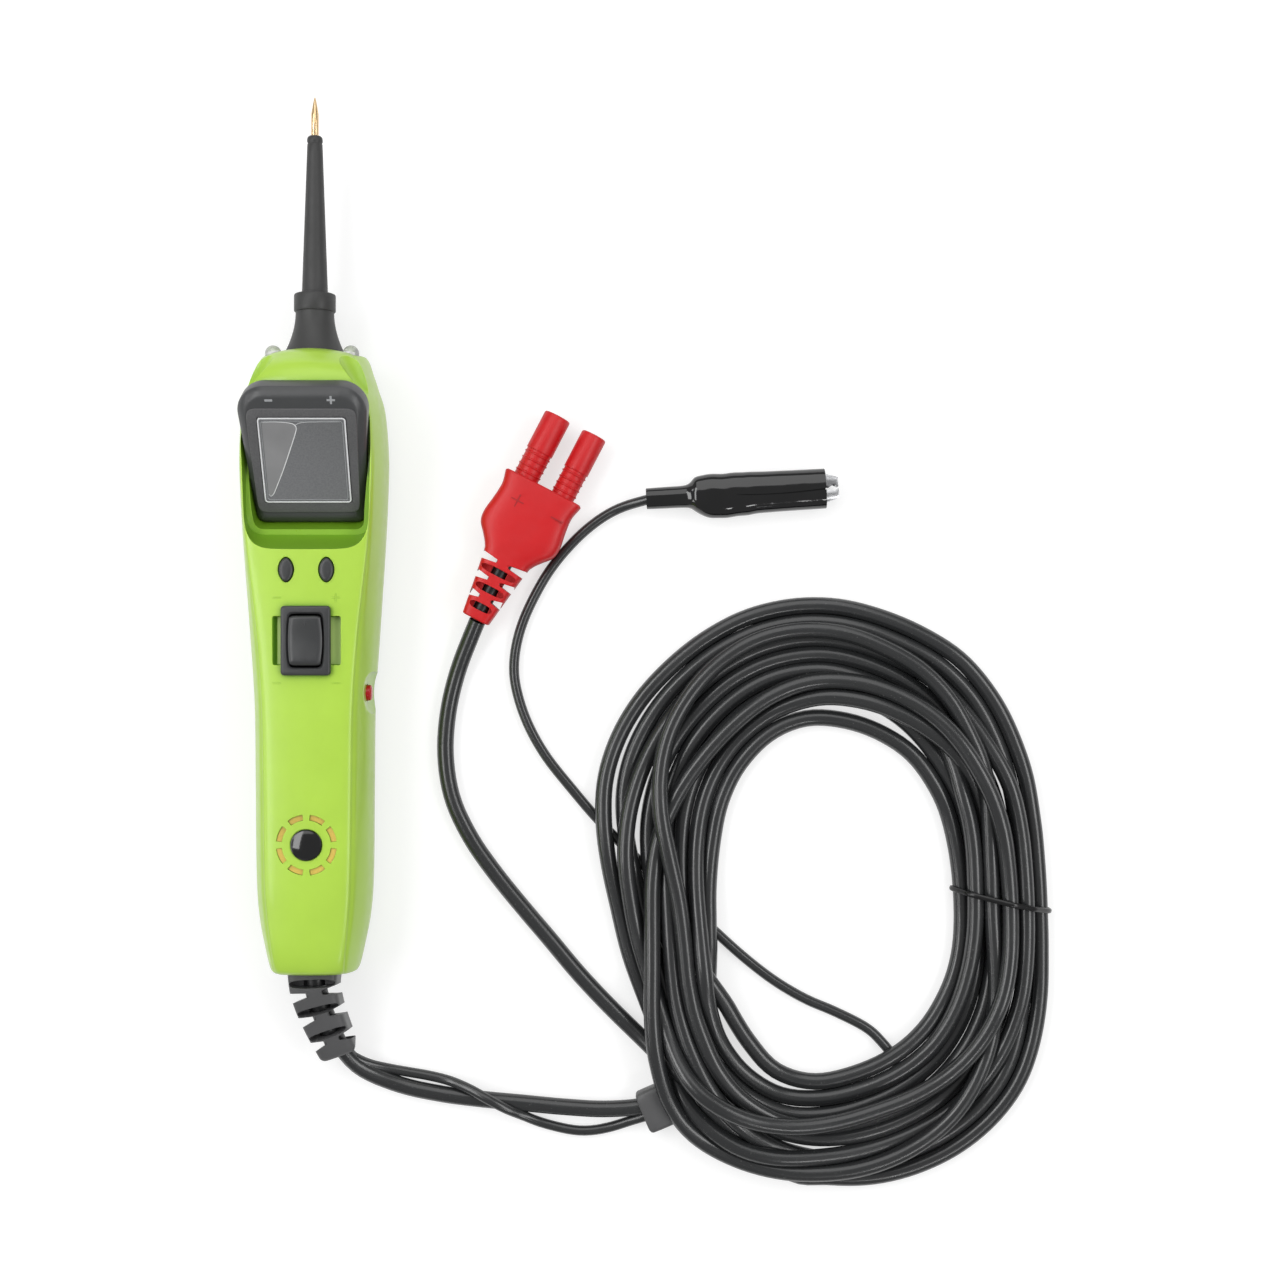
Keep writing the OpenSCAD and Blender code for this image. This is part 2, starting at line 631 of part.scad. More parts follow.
module reset_button() {
    color("crimson") translate([grip_w / 2 - 9, reset_y, seam_h + 1]) rotate([0, 90, 0]) {
        cylinder(r = reset_d / 2, h = 7 + reset_travel);
        translate([0, 0, 7 + reset_travel - eps]) cylinder(r1 = reset_d / 2, r2 = reset_d / 2 - 0.3, h = 0.3);
    }
}

module sounder_disc() {
    color("goldenrod") translate([0, sounder_y, seat_z - 0.4]) cylinder(r = disc_r - 0.2, h = 0.4);
}

module badge() {
    color("black") translate([0, sounder_y, face_z - 0.7]) rotate_extrude() polygon([
        [0, 0], [badge_d / 2, 0], [badge_d / 2, 0.9],
        for (t = [0.9 : -0.1 : 0]) [badge_d / 2 * t, 0.9 + 0.8 * (1 - t * t)]
    ]);
}

module lamp(side) {
    color([0.85, 0.87, 0.88]) translate([side * lamp_x, neck_y + 2.4 - lamp_d / 2, lamp_z]) rotate([90, 0, 0]) {
        sphere(r = lamp_d / 2, $fn = 32);
        cylinder(r = lamp_d / 2, h = 8);
        translate([0, 0, 7]) cylinder(r = lamp_d / 2 + 0.4, h = 1.2);
        for (x = [-1.27, 1.27]) translate([x - 0.25, -0.25, 8]) cube([0.5, 0.5, 4]);
    }
}

// Turned parts of the probe stand on the axis from the front wall
module along_probe(y) translate([0, neck_y + y, seam_h]) rotate([-90, 0, 0]) children();

module probe_tip() {
    color("gold") along_probe(-rod_inside) {
        straight = rod_inside + nozzle_l + sleeve_l + tip_l * 0.56;
        cylinder(r = probe_r, h = straight);
        translate([0, 0, straight]) cylinder(r1 = probe_r, r2 = 0.12, h = tip_l * 0.44);
    }
}

module probe_sleeve() {
    color([0.24, 0.25, 0.26]) along_probe(nozzle_l) rotate_extrude() polygon([
        [probe_r + 0.05, 0], [sleeve_d / 2, 0], [sleeve_d / 2 * 0.98, 1],
        [probe_r + 1.18, sleeve_l - 1.4], [probe_r + 0.95, sleeve_l - 0.5],
        [probe_r + 0.5, sleeve_l], [probe_r + 0.05, sleeve_l]
    ]);
}

module probe_nozzle() {
    flare = nozzle_l - collar_l;
    base_r = nozzle_d / 2;
    top_r = collar_r - 0.5;
    color([0.24, 0.25, 0.26]) along_probe(0) rotate_extrude() polygon([
        [probe_r + 0.05, -4.6], [nozzle_flange_r, -4.6], [nozzle_flange_r, -wall - 0.15],
        [base_r, -wall - 0.15],
        for (t = [0 : 0.125 : 1]) [lerp(base_r, top_r, sin(90 * pow(t, 0.9))), flare * t],
        [collar_r, flare + 0.2], [collar_r, nozzle_l - 0.6], [collar_r - 0.6, nozzle_l],
        [probe_r + 0.05, nozzle_l]
    ]);
}

module probe_terminal() {
    low = board_z + board_t;
    color("gold") difference() {
        translate([-3, neck_y - rod_inside - 0.5, low]) cube([6, 5, seam_h + 2.4 - low]);
        along_probe(-rod_inside - 5) cylinder(r = probe_r + 0.05, h = 20);
    }
}

module cable_boot() {
    axis = refine(BOOT, 2);
    m = len(axis) - 1;
    rings = [for (i = [0 : m]) let (t = i / m)
        stand(chamfered(lerp(boot_w, 12.4, t), lerp(boot_t, 10, t), lerp(3.4, 2.6, t)), axis[i],
            i == 0 ? [0, -1, 0] : heading(axis, i))];
    color([0.22, 0.23, 0.24]) difference() {
        union() {
            skin(rings);
            translate([0, tail_y + wall / 2, seam_h]) cube([boot_w - 0.2, wall + 0.4, boot_t - 0.2], center = true);
            translate([0, tail_y + wall + 1.2, seam_h]) cube([boot_w + 2, 2, boot_t + 2], center = true);
        }
        for (k = [0 : 2]) {
            boot_slot(axis[2 + 3 * k], heading(axis, 2 + 3 * k)) for (z = [-1, 1]) translate([0, 0, z * 8.2])
                cube([lerp(boot_w, 12, k / 3) - 2.2, 1.8, 8.4], center = true);
            boot_slot(lerp(axis[3 + 3 * k], axis[4 + 3 * k], 0.4), heading(axis, 3 + 3 * k))
                for (x = [-1, 1]) translate([x * 8.6, 0, 0]) cube([9, 2, 18], center = true);
        }
    }
}

module boot_slot(at, t) {
    translate(at) rotate([0, 0, atan2(t[0], -t[1])]) rotate([asin(-t[2]), 0, 0]) children();
}

module power_lead() color([0.15, 0.15, 0.16]) cord(POWER_ROUTE, power_d, 8);
module power_lead_end() color([0.15, 0.15, 0.16]) cord(POWER_END_ROUTE, power_d, 8);
module ground_lead() color([0.15, 0.15, 0.16]) cord(GROUND_ROUTE, ground_d, 8);

module power_coil() {
    color([0.18, 0.18, 0.19]) translate([COIL_AT[0], COIL_AT[1], 0]) linear_extrude(coil_h) difference() {
        polygon(ellipse(COIL_HALF[0] + coil_band / 2, COIL_HALF[1] + coil_band / 2, 48));
        polygon(ellipse(COIL_HALF[0] - coil_band / 2, COIL_HALF[1] - coil_band / 2, 48));
    }
}

module coil_tie() {
    color("black") translate([TIE_AT[0], TIE_AT[1], (coil_h + 0.8) / 2]) rotate([0, 0, -12]) difference() {
        cube([coil_band + 1.6, 1.6, coil_h + 0.8], center = true);
        cube([coil_band, 2.6, coil_h - 0.8], center = true);
    }
}

module lead_collar() {
    color([0.2, 0.2, 0.21]) translate(COLLAR_AT) rotate([0, 0, collar_turn]) skin([
        for (x = [[-4.8, 0.9], [-4, 1], [4, 1], [4.8, 0.9]])
            [for (p = chamfered(13.6 * x[1], 7 * x[1], 1.6)) [x[0], -p[0], p[1]]]
    ]);
}

module on_plug() translate(PLUG_AT) rotate([0, 0, plug_turn]) children();

module plug_body() {
    half = refine(PLUG_HALF, 2);
    color("crimson") on_plug() difference() {
        union() {
            skin([for (h = half)
                [for (p = chamfered(2 * h[0], plug_h * h[2], min(2.6, h[0] * 0.5))) [-p[0], h[1], p[1]]]]);
            for (s = [-1, 1]) translate([s * socket_pitch / 2, -0.5, 0]) rotate([-90, 0, 0]) {
                d = s < 0 ? socket_plus_d : socket_minus_d;
                cylinder(d = d - 1, h = socket_l + 0.5);
                translate([0, 0, 9]) cylinder(d = d, h = socket_l - 8.5);
                for (k = [0 : 3]) translate([0, 0, 2 + 2 * k]) cylinder(d = d - 0.2, h = 0.8);
            }
        }
        for (s = [-1, 1]) translate([s * socket_pitch / 2, 0, 0]) rotate([-90, 0, 0]) {
            translate([0, 0, socket_l - contact_depth - 1]) cylinder(d = contact_bore_d + 2 * contact_wall + 0.1, h = 40);
        }
        for (k = [0 : 2]) {
            w = lerp(15, 8.6, (k + 0.8) / 3);
            translate([0, -30.2 - 6 * k, 0]) for (z = [-1, 1]) translate([0, 0, z * 6.4])
                cube([w - 2, 1.5, 7.2], center = true);
            translate([0, -27.2 - 6 * k, 0]) for (x = [-1, 1]) translate([x * (w / 2 + 1.2), 0, 0])
                cube([w / 2, 1.5, 14], center = true);
        }
    }
}

module contact(side) {
    color("gold") on_plug() translate([side * socket_pitch / 2, socket_l - contact_depth - 1, 0])
        rotate([-90, 0, 0]) difference() {
            cylinder(d = contact_bore_d + 2 * contact_wall, h = contact_depth);
            translate([0, 0, 1.5]) cylinder(d = contact_bore_d, h = contact_depth);
        }
}

module on_clip() translate(CLIP_AT) rotate([0, 0, clip_turn]) children();

// One jaw in side view: a channel from the handle to the toothed tip
module jaw_side(tip_x, handle_x, up) {
    teeth = 14;
    pitch = teeth / tooth_count;
    polygon([
        [handle_x, up ? clip_w / 2 : 0.6], [handle_x, up ? clip_w / 2 - 1.2 : -0.4], [pivot_x - 4, -1.4],
        [pivot_x + 3, -1.6], [pivot_x + 9, 0.9], [tip_x - teeth, 0.25],
        for (k = [0 : tooth_count - 1]) each [
            [tip_x - teeth + (k + 0.5) * pitch, 1.1], [tip_x - teeth + (k + 1) * pitch, 0.25]
        ],
        [tip_x, 3.2], [tip_x - 4, 4.4], [pivot_x + 6, clip_w / 2 - 0.2], [pivot_x - 4, clip_w / 2]
    ]);
}

// Sheet channel: two cheeks and the web that joins them
module jaw(h, up) {
    difference() {
        linear_extrude(h, center = true) jaw_side(clip_l, 20, up);
        translate([0, -jaw_sheet * 1.2, 0]) linear_extrude(h - 2 * jaw_sheet, center = true)
            offset(delta = -eps) jaw_side(clip_l - 0.7, 18, up);
    }
}

module clip_jaw_moving() {
    color("silver") on_clip() difference() {
        jaw(jaw_w - 2 * jaw_sheet - 0.3, true);
        translate([pivot_x, 0, 0]) cylinder(r = pivot_r + 0.06, h = 20, center = true);
    }
}

module clip_jaw_fixed() {
    color("silver") on_clip() difference() {
        union() {
            mirror([0, 1, 0]) jaw(jaw_w, false);
            translate([1, -1.6, -1.6]) cube([pivot_x - 10, 2.4, 3.2]);
        }
        translate([pivot_x, 0, 0]) cylinder(r = pivot_r + seat, h = 20, center = true);
    }
}

module clip_pivot() {
    color("silver") on_clip() translate([pivot_x, 0, 0]) {
        cylinder(r = pivot_r, h = jaw_w + 0.2, center = true);
        for (z = [-1, 1]) translate([0, 0, z * (jaw_w / 2 + 0.2)]) cylinder(r = pivot_r + 0.7, h = 0.4, center = true);
    }
}

module clip_spring() {
    color("gray") on_clip() translate([pivot_x, 0, 0]) difference() {
        cylinder(r = pivot_r + 1, h = 3.6, center = true);
        cylinder(r = pivot_r + 0.3, h = 4, center = true);
    }
}

module clip_boot() {
    in_y = clip_w / 2 + 0.5;
    in_z = jaw_w / 2 + 0.45;
    hollow = [
        [2, 2.4, 2.4], [14, 2.9, 2.9], [18, in_y, in_z], [26, in_y + 0.6, in_z], [34, in_y + 0.5, in_z],
        [clip_l - 4.2, in_y, in_z]
    ];
    color([0.08, 0.08, 0.09]) on_clip() difference() {
        boot_solid([for (h = hollow) [h[0], h[1] + boot_skin, h[2] + boot_skin]], -2, 1.3);
        boot_solid(hollow, 1, 0.7);
        translate([-1, 0, 0]) rotate([0, 90, 0]) cylinder(r = ground_d / 2 + seat, h = 6);
        translate([boot_slit_x, -boot_slit_w / 2, -2 * jaw_w]) cube([clip_l, boot_slit_w, 4 * jaw_w]);
    }
}

// Solid through places of along, half width and half height, its ends moved out
module boot_solid(places, low, corner) {
    m = len(places) - 1;
    skin([for (i = [0 : m]) let (x = places[i][0] + (i == 0 ? low : i == m && low > 0 ? low : 0))
        [for (p = chamfered(2 * places[i][1], 2 * places[i][2], corner)) [x, -p[0], p[1]]]]);
}

front_case();
rear_case();
case_screws();
display_bezel();
display_lens();
display_module();
main_board();
button_board();
tact_switches();
mode_button(-1);  // mode_button_left
mode_button(1);  // mode_button_right
rocker_frame();
rocker();
rocker_terminals();
breaker_body();
reset_button();
sounder_disc();
badge();
lamp(-1);  // lamp_left
lamp(1);  // lamp_right
probe_tip();
probe_sleeve();
probe_nozzle();
probe_terminal();
cable_boot();
power_lead();
power_coil();
power_lead_end();
ground_lead();
lead_collar();
coil_tie();
plug_body();
contact(-1);  // contact_positive
contact(1);  // contact_negative
clip_jaw_fixed();
clip_jaw_moving();
clip_pivot();
clip_spring();
clip_boot();
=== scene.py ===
import logging
import math
from collections.abc import Callable
from dataclasses import dataclass
from enum import Enum

import bmesh
import bpy
import numpy as np
from mathutils.bvhtree import BVHTree
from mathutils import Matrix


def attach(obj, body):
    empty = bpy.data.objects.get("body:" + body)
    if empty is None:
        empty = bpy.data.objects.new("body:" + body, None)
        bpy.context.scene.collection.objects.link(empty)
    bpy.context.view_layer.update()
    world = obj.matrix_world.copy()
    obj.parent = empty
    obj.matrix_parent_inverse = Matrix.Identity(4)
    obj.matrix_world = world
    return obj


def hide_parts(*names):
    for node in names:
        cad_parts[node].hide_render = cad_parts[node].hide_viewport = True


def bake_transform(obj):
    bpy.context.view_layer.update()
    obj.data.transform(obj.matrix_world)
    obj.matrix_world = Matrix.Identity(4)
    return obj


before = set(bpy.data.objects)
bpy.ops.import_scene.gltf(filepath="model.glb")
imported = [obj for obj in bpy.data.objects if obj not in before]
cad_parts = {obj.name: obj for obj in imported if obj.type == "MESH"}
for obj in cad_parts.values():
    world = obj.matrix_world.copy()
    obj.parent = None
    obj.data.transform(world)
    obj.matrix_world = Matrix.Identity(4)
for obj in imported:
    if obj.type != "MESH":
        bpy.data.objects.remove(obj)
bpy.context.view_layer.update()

LOG = logging.getLogger("circuit_tester")
MM = 0.001
SMOOTH_DEG = 35.0
MERGE_M = 2e-6
UP = np.array([0.0, 0.0, 1.0])
TESTER = "tester"
Array = np.ndarray
Solid = bpy.types.Object
Socket = bpy.types.NodeSocket
Place = tuple[float, float, float]
Pair = tuple[float, float]
Profile = Array | list[Pair] | list[list[float]]


# Sizes shared by the pieces, in millimetres

@dataclass(frozen=True)
class Layout:
    """Driving sizes of the tester, with the origin under its middle."""

    case_l: float = 191.0
    head_w: float = 45.0
    grip_w: float = 36.2
    tail_w: float = 26.0
    face_z: float = 29.5
    seam_z: float = 14.0
    wall: float = 2.0
    nozzle_l: float = 18.2
    sleeve_l: float = 48.9
    tip_l: float = 12.1
    display_tilt: float = 28.0
    slot_ring_d: float = 18.4
    button_x: float = 6.1
    lamp_x: float = 11.95
    lamp_z: float = 19.0

    @property
    def tail_y(self) -> float:
        """Place of the tail wall along the tester."""
        return -(self.case_l + self.nozzle_l + self.sleeve_l + self.tip_l) / 2

    @property
    def neck_y(self) -> float:
        """Place of the front wall that the probe leaves."""
        return self.tail_y + self.case_l

    @property
    def display_y(self) -> float:
        """Place of the middle of the display."""
        return self.neck_y - 34.35

    @property
    def display_z(self) -> float:
        """Height of the middle of the display face."""
        return self.face_z + 2.5

    @property
    def button_y(self) -> float:
        """Place of the two oval buttons."""
        return self.neck_y - 67.7

    @property
    def rocker_y(self) -> float:
        """Place of the rocker switch."""
        return self.neck_y - 89.1

    @property
    def reset_y(self) -> float:
        """Place of the round reset button."""
        return self.neck_y - 105.2

    @property
    def sounder_y(self) -> float:
        """Place of the middle of the sound slots."""
        return self.tail_y + 40.2

    def stations(self) -> Array:
        """Sections of the housing from the tail to the neck.

        Returns:
            Rows of place, half width, ridge half width, ridge height, crown height and rear height.
        """
        tail, neck, grip, head = self.tail_w / 2, self.neck_y, self.grip_w / 2, self.head_w / 2
        z, y = self.face_z, self.tail_y
        return np.array([
            [y, tail, tail - 3.4, z - 7, z - 5.2, 2.6],
            [y + 1.5, tail + 0.7, tail - 2.8, z - 4.8, z - 3.2, 1],
            [y + 7, tail + 2, tail - 2.2, z - 3, z - 1.6, 0],
            [y + 17, grip - 1.2, tail - 1.2, z - 1.9, z - 0.7, 0],
            [y + 30, grip - 0.3, grip - 5.5, z - 1.3, z - 0.1, 0],
            [self.sounder_y + 20, grip, grip - 5.1, z - 1.2, z, 0],
            [self.reset_y - 3, grip + 0.3, grip - 4.7, z - 1.1, z, 0],
            [self.rocker_y + 3, head - 2.7, head - 7.5, z - 0.9, z + 0.1, 0],
            [self.button_y + 6, head - 1.1, head - 4.7, z - 0.5, z + 0.3, 0],
            [self.display_y - 12, head - 0.3, head - 3.5, z + 0.3, z + 1.1, 0],
            [self.display_y + 2, head, head - 3.1, z + 0.9, z + 2.1, 0],
            [self.display_y + 16, head - 1.1, head - 4.2, z + 2.4, z + 4.8, 0],
            [neck - 11, head - 3.2, head - 6.5, z + 3.2, z + 5.9, 0],
            [neck - 6, head - 4.8, head - 8.2, z + 0.6, z + 3.7, 0.3],
            [neck - 2.5, head - 5.7, head - 9.1, z - 4, z - 0.3, 1.4],
            [neck - 1, head - 6.2, head - 9.6, z - 6, z - 2.7, 2.2],
            [neck, head - 6.7, head - 10.1, z - 8.5, z - 5.6, 3],
        ])


LAYOUT = Layout()


# Surfaces worked out as whole arrays

def smooth_line(points: Array, steps: int) -> Array:
    """Carries a smooth curve through points along the first axis.

    Each stretch is the cubic that has, at its two ends, half the difference of the neighbours as slope.

    Args:
        points: Array whose first axis runs along the curve.
        steps: Number of stretches between two of the points.

    Returns:
        The points with steps - 1 more between each two.
    """
    p = np.concatenate([points[:1], points, points[-1:]])
    t = (np.arange(steps) / steps).reshape((1, steps) + (1,) * (points.ndim - 1))
    p0, p1, p2, p3 = (p[k:k + len(points) - 1, None] for k in range(4))
    fine = 0.5 * (2 * p1 + (p2 - p0) * t + (2 * p0 - 5 * p1 + 4 * p2 - p3) * t**2
                  + (3 * p1 - p0 - 3 * p2 + p3) * t**3)
    return np.concatenate([fine.reshape((-1,) + points.shape[1:]), points[-1:]])


def distances(path: Array) -> Array:
    """Gives each point's distance from the start, measured along the path."""
    return np.concatenate([[0.0], np.cumsum(np.linalg.norm(np.diff(path, axis=0), axis=1))])


def evenly(path: Array, gap: float) -> Array:
    """Places points at one distance along a path, each by its share of the arc length.

    Args:
        path: Points of the path.
        gap: Distance wanted between two points.

    Returns:
        The new points, ends kept.
    """
    along = distances(path)
    places = np.linspace(0, along[-1], max(2, int(round(along[-1] / gap)) + 1))
    return np.stack([np.interp(places, along, path[:, k]) for k in range(3)], axis=1)


def unit(v: Array) -> Array:
    """Divides each vector by its length."""
    return v / np.linalg.norm(v, axis=-1, keepdims=True)


def headings(path: Array) -> Array:
    """Gives the direction of a path at each of its points, from the two neighbours."""
    return unit(np.gradient(path, axis=0))


def ring_headings(path: Array) -> Array:
    """Gives the direction of a closed path at each of its points."""
    return unit(np.roll(path, -1, axis=0) - np.roll(path, 1, axis=0))


def frames(path: Array) -> tuple[Array, Array, Array]:
    """Gives the heading, the level side and the lift square to both, at each point of a path."""
    t = headings(path)
    side = unit(np.cross(t, UP))
    return t, side, np.cross(side, t)


def swept(path: Array, sections: Array, side: Array, lift: Array) -> Array:
    """Rings of flat sections along a path.

    Args:
        path: Points, shape (m, 3).
        sections: Flat sections, shape (m, n, 2), or one for all, shape (n, 2).
        side: Ways that a section's first value runs, shape (m, 3) or (1, 3).
        lift: Ways that its second value runs, shaped like side.

    Returns:
        Rings of points, shape (m, n, 3).
    """
    return path[:, None] + sections[..., :1] * side[:, None] + sections[..., 1:] * lift[:, None]


def stand(path: Array, sections: Array) -> Array:
    """Stands flat sections across a path, their first value level and square to the heading."""
    _, side, lift = frames(path)
    return swept(path, sections, side, lift)


def around(count: int) -> Array:
    """Even angles round one full turn."""
    return np.linspace(0, 2 * math.pi, count, endpoint=False)


def compass(angle: Array) -> Array:
    """Unit vectors at the given angles, anticlockwise from the right."""
    return np.stack([np.cos(angle), np.sin(angle)], axis=1)


def mix(first: Array | float, second: Array | float, share: Array | float) -> Array | float:
    """Goes from one value to another by a share."""
    return first + (second - first) * share


def met(ray: Array, normal: Array, support: Array) -> Array:
    """Points where rays from the origin meet the nearest of several lines.

    Args:
        ray: Unit vectors of the rays, shape (n, 2).
        normal: Outward normals of the lines, shape (k, 2).
        support: Each line's distance from the origin times the length of its normal.

    Returns:
        Points, shape (n, 2).
    """
    share = ray @ normal.T
    return ray * np.where(share > 1e-6, support / np.maximum(share, 1e-6), np.inf).min(axis=1)[:, None]


def ellipse(half_w: float, half_h: float, count: int) -> Array:
    """Points on an ellipse, at even steps of its angle."""
    return compass(around(count)) * [half_w, half_h]


def soft_box(half_w: float, half_h: float, power: float, count: int) -> Array:
    """Points on a superellipse: each side's share of its half size, to the power, adds to one."""
    c = compass(around(count))
    return np.sign(c) * np.abs(c) ** (2 / power) * [half_w, half_h]


def rounded(half_w: float, half_h: float, radius: float, per_corner: int = 8) -> Array:
    """Outline of a rectangle whose corners are quarter circles.

    Args:
        half_w: Half width.
        half_h: Half height.
        radius: Corner radius.
        per_corner: Points on each corner.

    Returns:
        Points, anticlockwise from the right side, shape (4 * per_corner, 2).
    """
    turn = np.linspace(0, math.pi / 2, per_corner)
    corner = compass(turn) * radius + [half_w - radius, half_h - radius]
    flip = corner[::-1]
    return np.concatenate([corner, flip * [-1, 1], corner * [-1, -1], flip * [1, -1]])


def mirrored(right: Array) -> Array:
    """Closes the right half of an outline with its mirror image."""
    return np.concatenate([right, right[::-1] * [-1, 1]])


def turned(profile: Profile, count: int) -> Array:
    """Turns a profile of radius and height about the Z axis.

    Args:
        profile: Rows of radius and height.
        count: Points round each ring.

    Returns:
        Rings, shape (m, count, 3).
    """
    profile = np.asarray(profile, float)
    a = around(count)
    r, z = profile[:, :1], profile[:, 1:]
    return np.stack([r * np.cos(a), r * np.sin(a), np.broadcast_to(z, (len(profile), count))], axis=2)


def lying(profile: Profile, count: int) -> Array:
    """Turns a profile of radius and distance about an axis along Y."""
    return turned(profile, count)[..., [0, 2, 1]]


def sideways(profile: Profile, count: int) -> Array:
    """Turns a profile of radius and distance about an axis along X."""
    return turned(profile, count)[..., [2, 1, 0]] * [1, 1, -1]


def ball(rings: int, sides: int) -> Array:
    """Rings of a ball of radius one, almost closed at its two poles."""
    swing = np.linspace(0.01, math.pi - 0.01, rings)
    return turned(np.stack([np.sin(swing), -np.cos(swing)], axis=1), sides)


def rings_between(low: Array, high: Array, shares: list[float]) -> Array:
    """Rings that go from one ring to another by straight lines, at the given shares of the way."""
    t = np.array(shares)[:, None, None]
    return low[None] * (1 - t) + high[None] * t


def placed(points: Array, at: Place, turn_deg: float) -> Array:
    """Turns points about the upright axis and moves them to a place.

    Args:
        points: Points in a piece's own frame.
        at: Place of that frame's origin.
        turn_deg: Turn of the frame, anticlockwise from above.

    Returns:
        Points in the shared frame.
    """
    a = math.radians(turn_deg)
    x, y = points[..., 0], points[..., 1]
    return np.stack([x * math.cos(a) - y * math.sin(a), x * math.sin(a) + y * math.cos(a), points[..., 2]],
                    axis=-1) + np.array(at)


def lifted(outline: Array, z: float | Array) -> Array:
    """Gives flat points a height, one for all or one for each."""
    return np.concatenate([outline, np.full((len(outline), 1), z)], axis=1)


def stepped(outline: Array, steps: list[Pair], middle: Pair | Array = (0.0, 0.0)) -> Array:
    """Rings of one outline at several heights, each shrunk so that its widest point comes in by an inset.

    Args:
        outline: Outline round the origin, shape (n, 2).
        steps: Inset and height of each ring; an inset below nought grows it.
        middle: Where the outline's origin goes.

    Returns:
        Rings, shape (m, n, 3).
    """
    reach = np.abs(outline).max(axis=0)
    return np.stack([lifted(outline * (1 - inset / reach) + middle, z) for inset, z in steps])


class Ends(Enum):
    """How the two ends of a skinned surface are treated."""

    CAPPED = "capped"
    OPEN = "open"


def skinned(name: str, rings: Array, ends: Ends = Ends.CAPPED) -> Solid:
    """Makes an object whose surface runs through rings of points, each joined to the next by quads.

    Args:
        name: Name of the object and its mesh.
        rings: Points in millimetres, shape (m, n, 3).
        ends: Whether the first and last ring are closed.

    Returns:
        The new object, with its faces pointing outwards.
    """
    m, n = rings.shape[:2]
    i, j = np.meshgrid(np.arange(m - 1), np.arange(n), indexing="ij")
    a, b = i * n + j, i * n + (j + 1) % n
    faces = np.stack([a, b, b + n, a + n], axis=-1).reshape(-1, 4).tolist()
    if ends is Ends.CAPPED:
        faces += [list(range(n - 1, -1, -1)), list(range((m - 1) * n, m * n))]
    return piece_from(name, rings.reshape(-1, 3), faces)


def linked(name: str, data: bpy.types.ID) -> Solid:
    """Makes an object of some data and puts it into the scene."""
    obj = bpy.data.objects.new(name, data)
    bpy.context.scene.collection.objects.link(obj)
    return obj


def piece_from(name: str, points: Array, faces: list[list[int]]) -> Solid:
    """Makes an object from points in millimetres and lists of corners.

    Args:
        name: Name of the object and its mesh.
        points: Points, shape (n, 3).
        faces: Corners of each face.

    Returns:
        The new object at the origin.
    """
    mesh = bpy.data.meshes.new(name)
    mesh.from_pydata((points * MM).tolist(), [], faces)
    obj = linked(name, mesh)
    tidy_faces(obj)
    return obj


def tidy_faces(obj: Solid, smooth_deg: float = SMOOTH_DEG) -> None:
    """Merges doubles, points the faces outwards and marks the sharp edges.

    Args:
        obj: Mesh object to work on.
        smooth_deg: Edges that turn by more than this stay sharp.
    """
    bm = bmesh.new()
    bm.from_mesh(obj.data)
    bmesh.ops.remove_doubles(bm, verts=bm.verts, dist=MERGE_M)
    bmesh.ops.dissolve_degenerate(bm, dist=1e-6, edges=bm.edges)
    bmesh.ops.recalc_face_normals(bm, faces=bm.faces)
    limit = math.radians(smooth_deg)
    for edge in bm.edges:
        edge.smooth = not edge.is_manifold or edge.calc_face_angle(0.0) < limit
    for face in bm.faces:
        face.smooth = True
    bm.to_mesh(obj.data)
    bm.free()


def apply_modifiers(obj: Solid) -> None:
    """Puts an object's modifiers into its mesh.

    Args:
        obj: Mesh object to work on.
    """
    bpy.context.view_layer.update()
    graph = bpy.context.evaluated_depsgraph_get()
    mesh = bpy.data.meshes.new_from_object(obj.evaluated_get(graph))
    obj.modifiers.clear()
    old, obj.data = obj.data, mesh
    mesh.name = obj.name
    bpy.data.meshes.remove(old)


class Cut(Enum):
    """Operations between two closed solids."""

    AWAY = "DIFFERENCE"
    JOIN = "UNION"


def carve(obj: Solid, tools: list[Solid], cut: Cut = Cut.AWAY, smooth_deg: float = SMOOTH_DEG) -> None:
    """Works an object with other solids, which are used up.

    Args:
        obj: Solid that is changed.
        tools: Solids that cut it or join it, one after the other.
        cut: The operation.
        smooth_deg: Edges that turn by more than this stay sharp.
    """
    for tool in tools:
        step = obj.modifiers.new(cut.name, "BOOLEAN")
        step.operation = cut.value
        step.object = tool
        step.solver = "EXACT"
    apply_modifiers(obj)
    for tool in tools:
        mesh = tool.data
        bpy.data.objects.remove(tool)
        bpy.data.meshes.remove(mesh)
    tidy_faces(obj, smooth_deg)


def joined(pieces: list[Solid]) -> Solid:
    """Joins overlapping solids into the first of them."""
    if len(pieces) > 1:
        carve(pieces[0], pieces[1:], Cut.JOIN)
    return pieces[0]


def mark(name: str, bars: list[Pair], corner: tuple[float, int], heights: Pair,
         put: Callable[[Array], Array]) -> Solid:
    """Makes a minus from one bar or a plus from two.

    Args:
        name: Name of the mark.
        bars: Width and height of each bar.
        corner: Corner radius of the bars and number of points on each corner.
        heights: Heights of foot and top.
        put: Puts points from the mark's own frame into the shared frame.

    Returns:
        The mark.
    """
    pieces = []
    for k, (width, height) in enumerate(bars):
        shape = rounded(width / 2, height / 2, *corner)
        rings = np.stack([lifted(shape, z) for z in heights])
        pieces.append(skinned(f"{name}_{k}" if k else name, put(rings)))
    return joined(pieces)


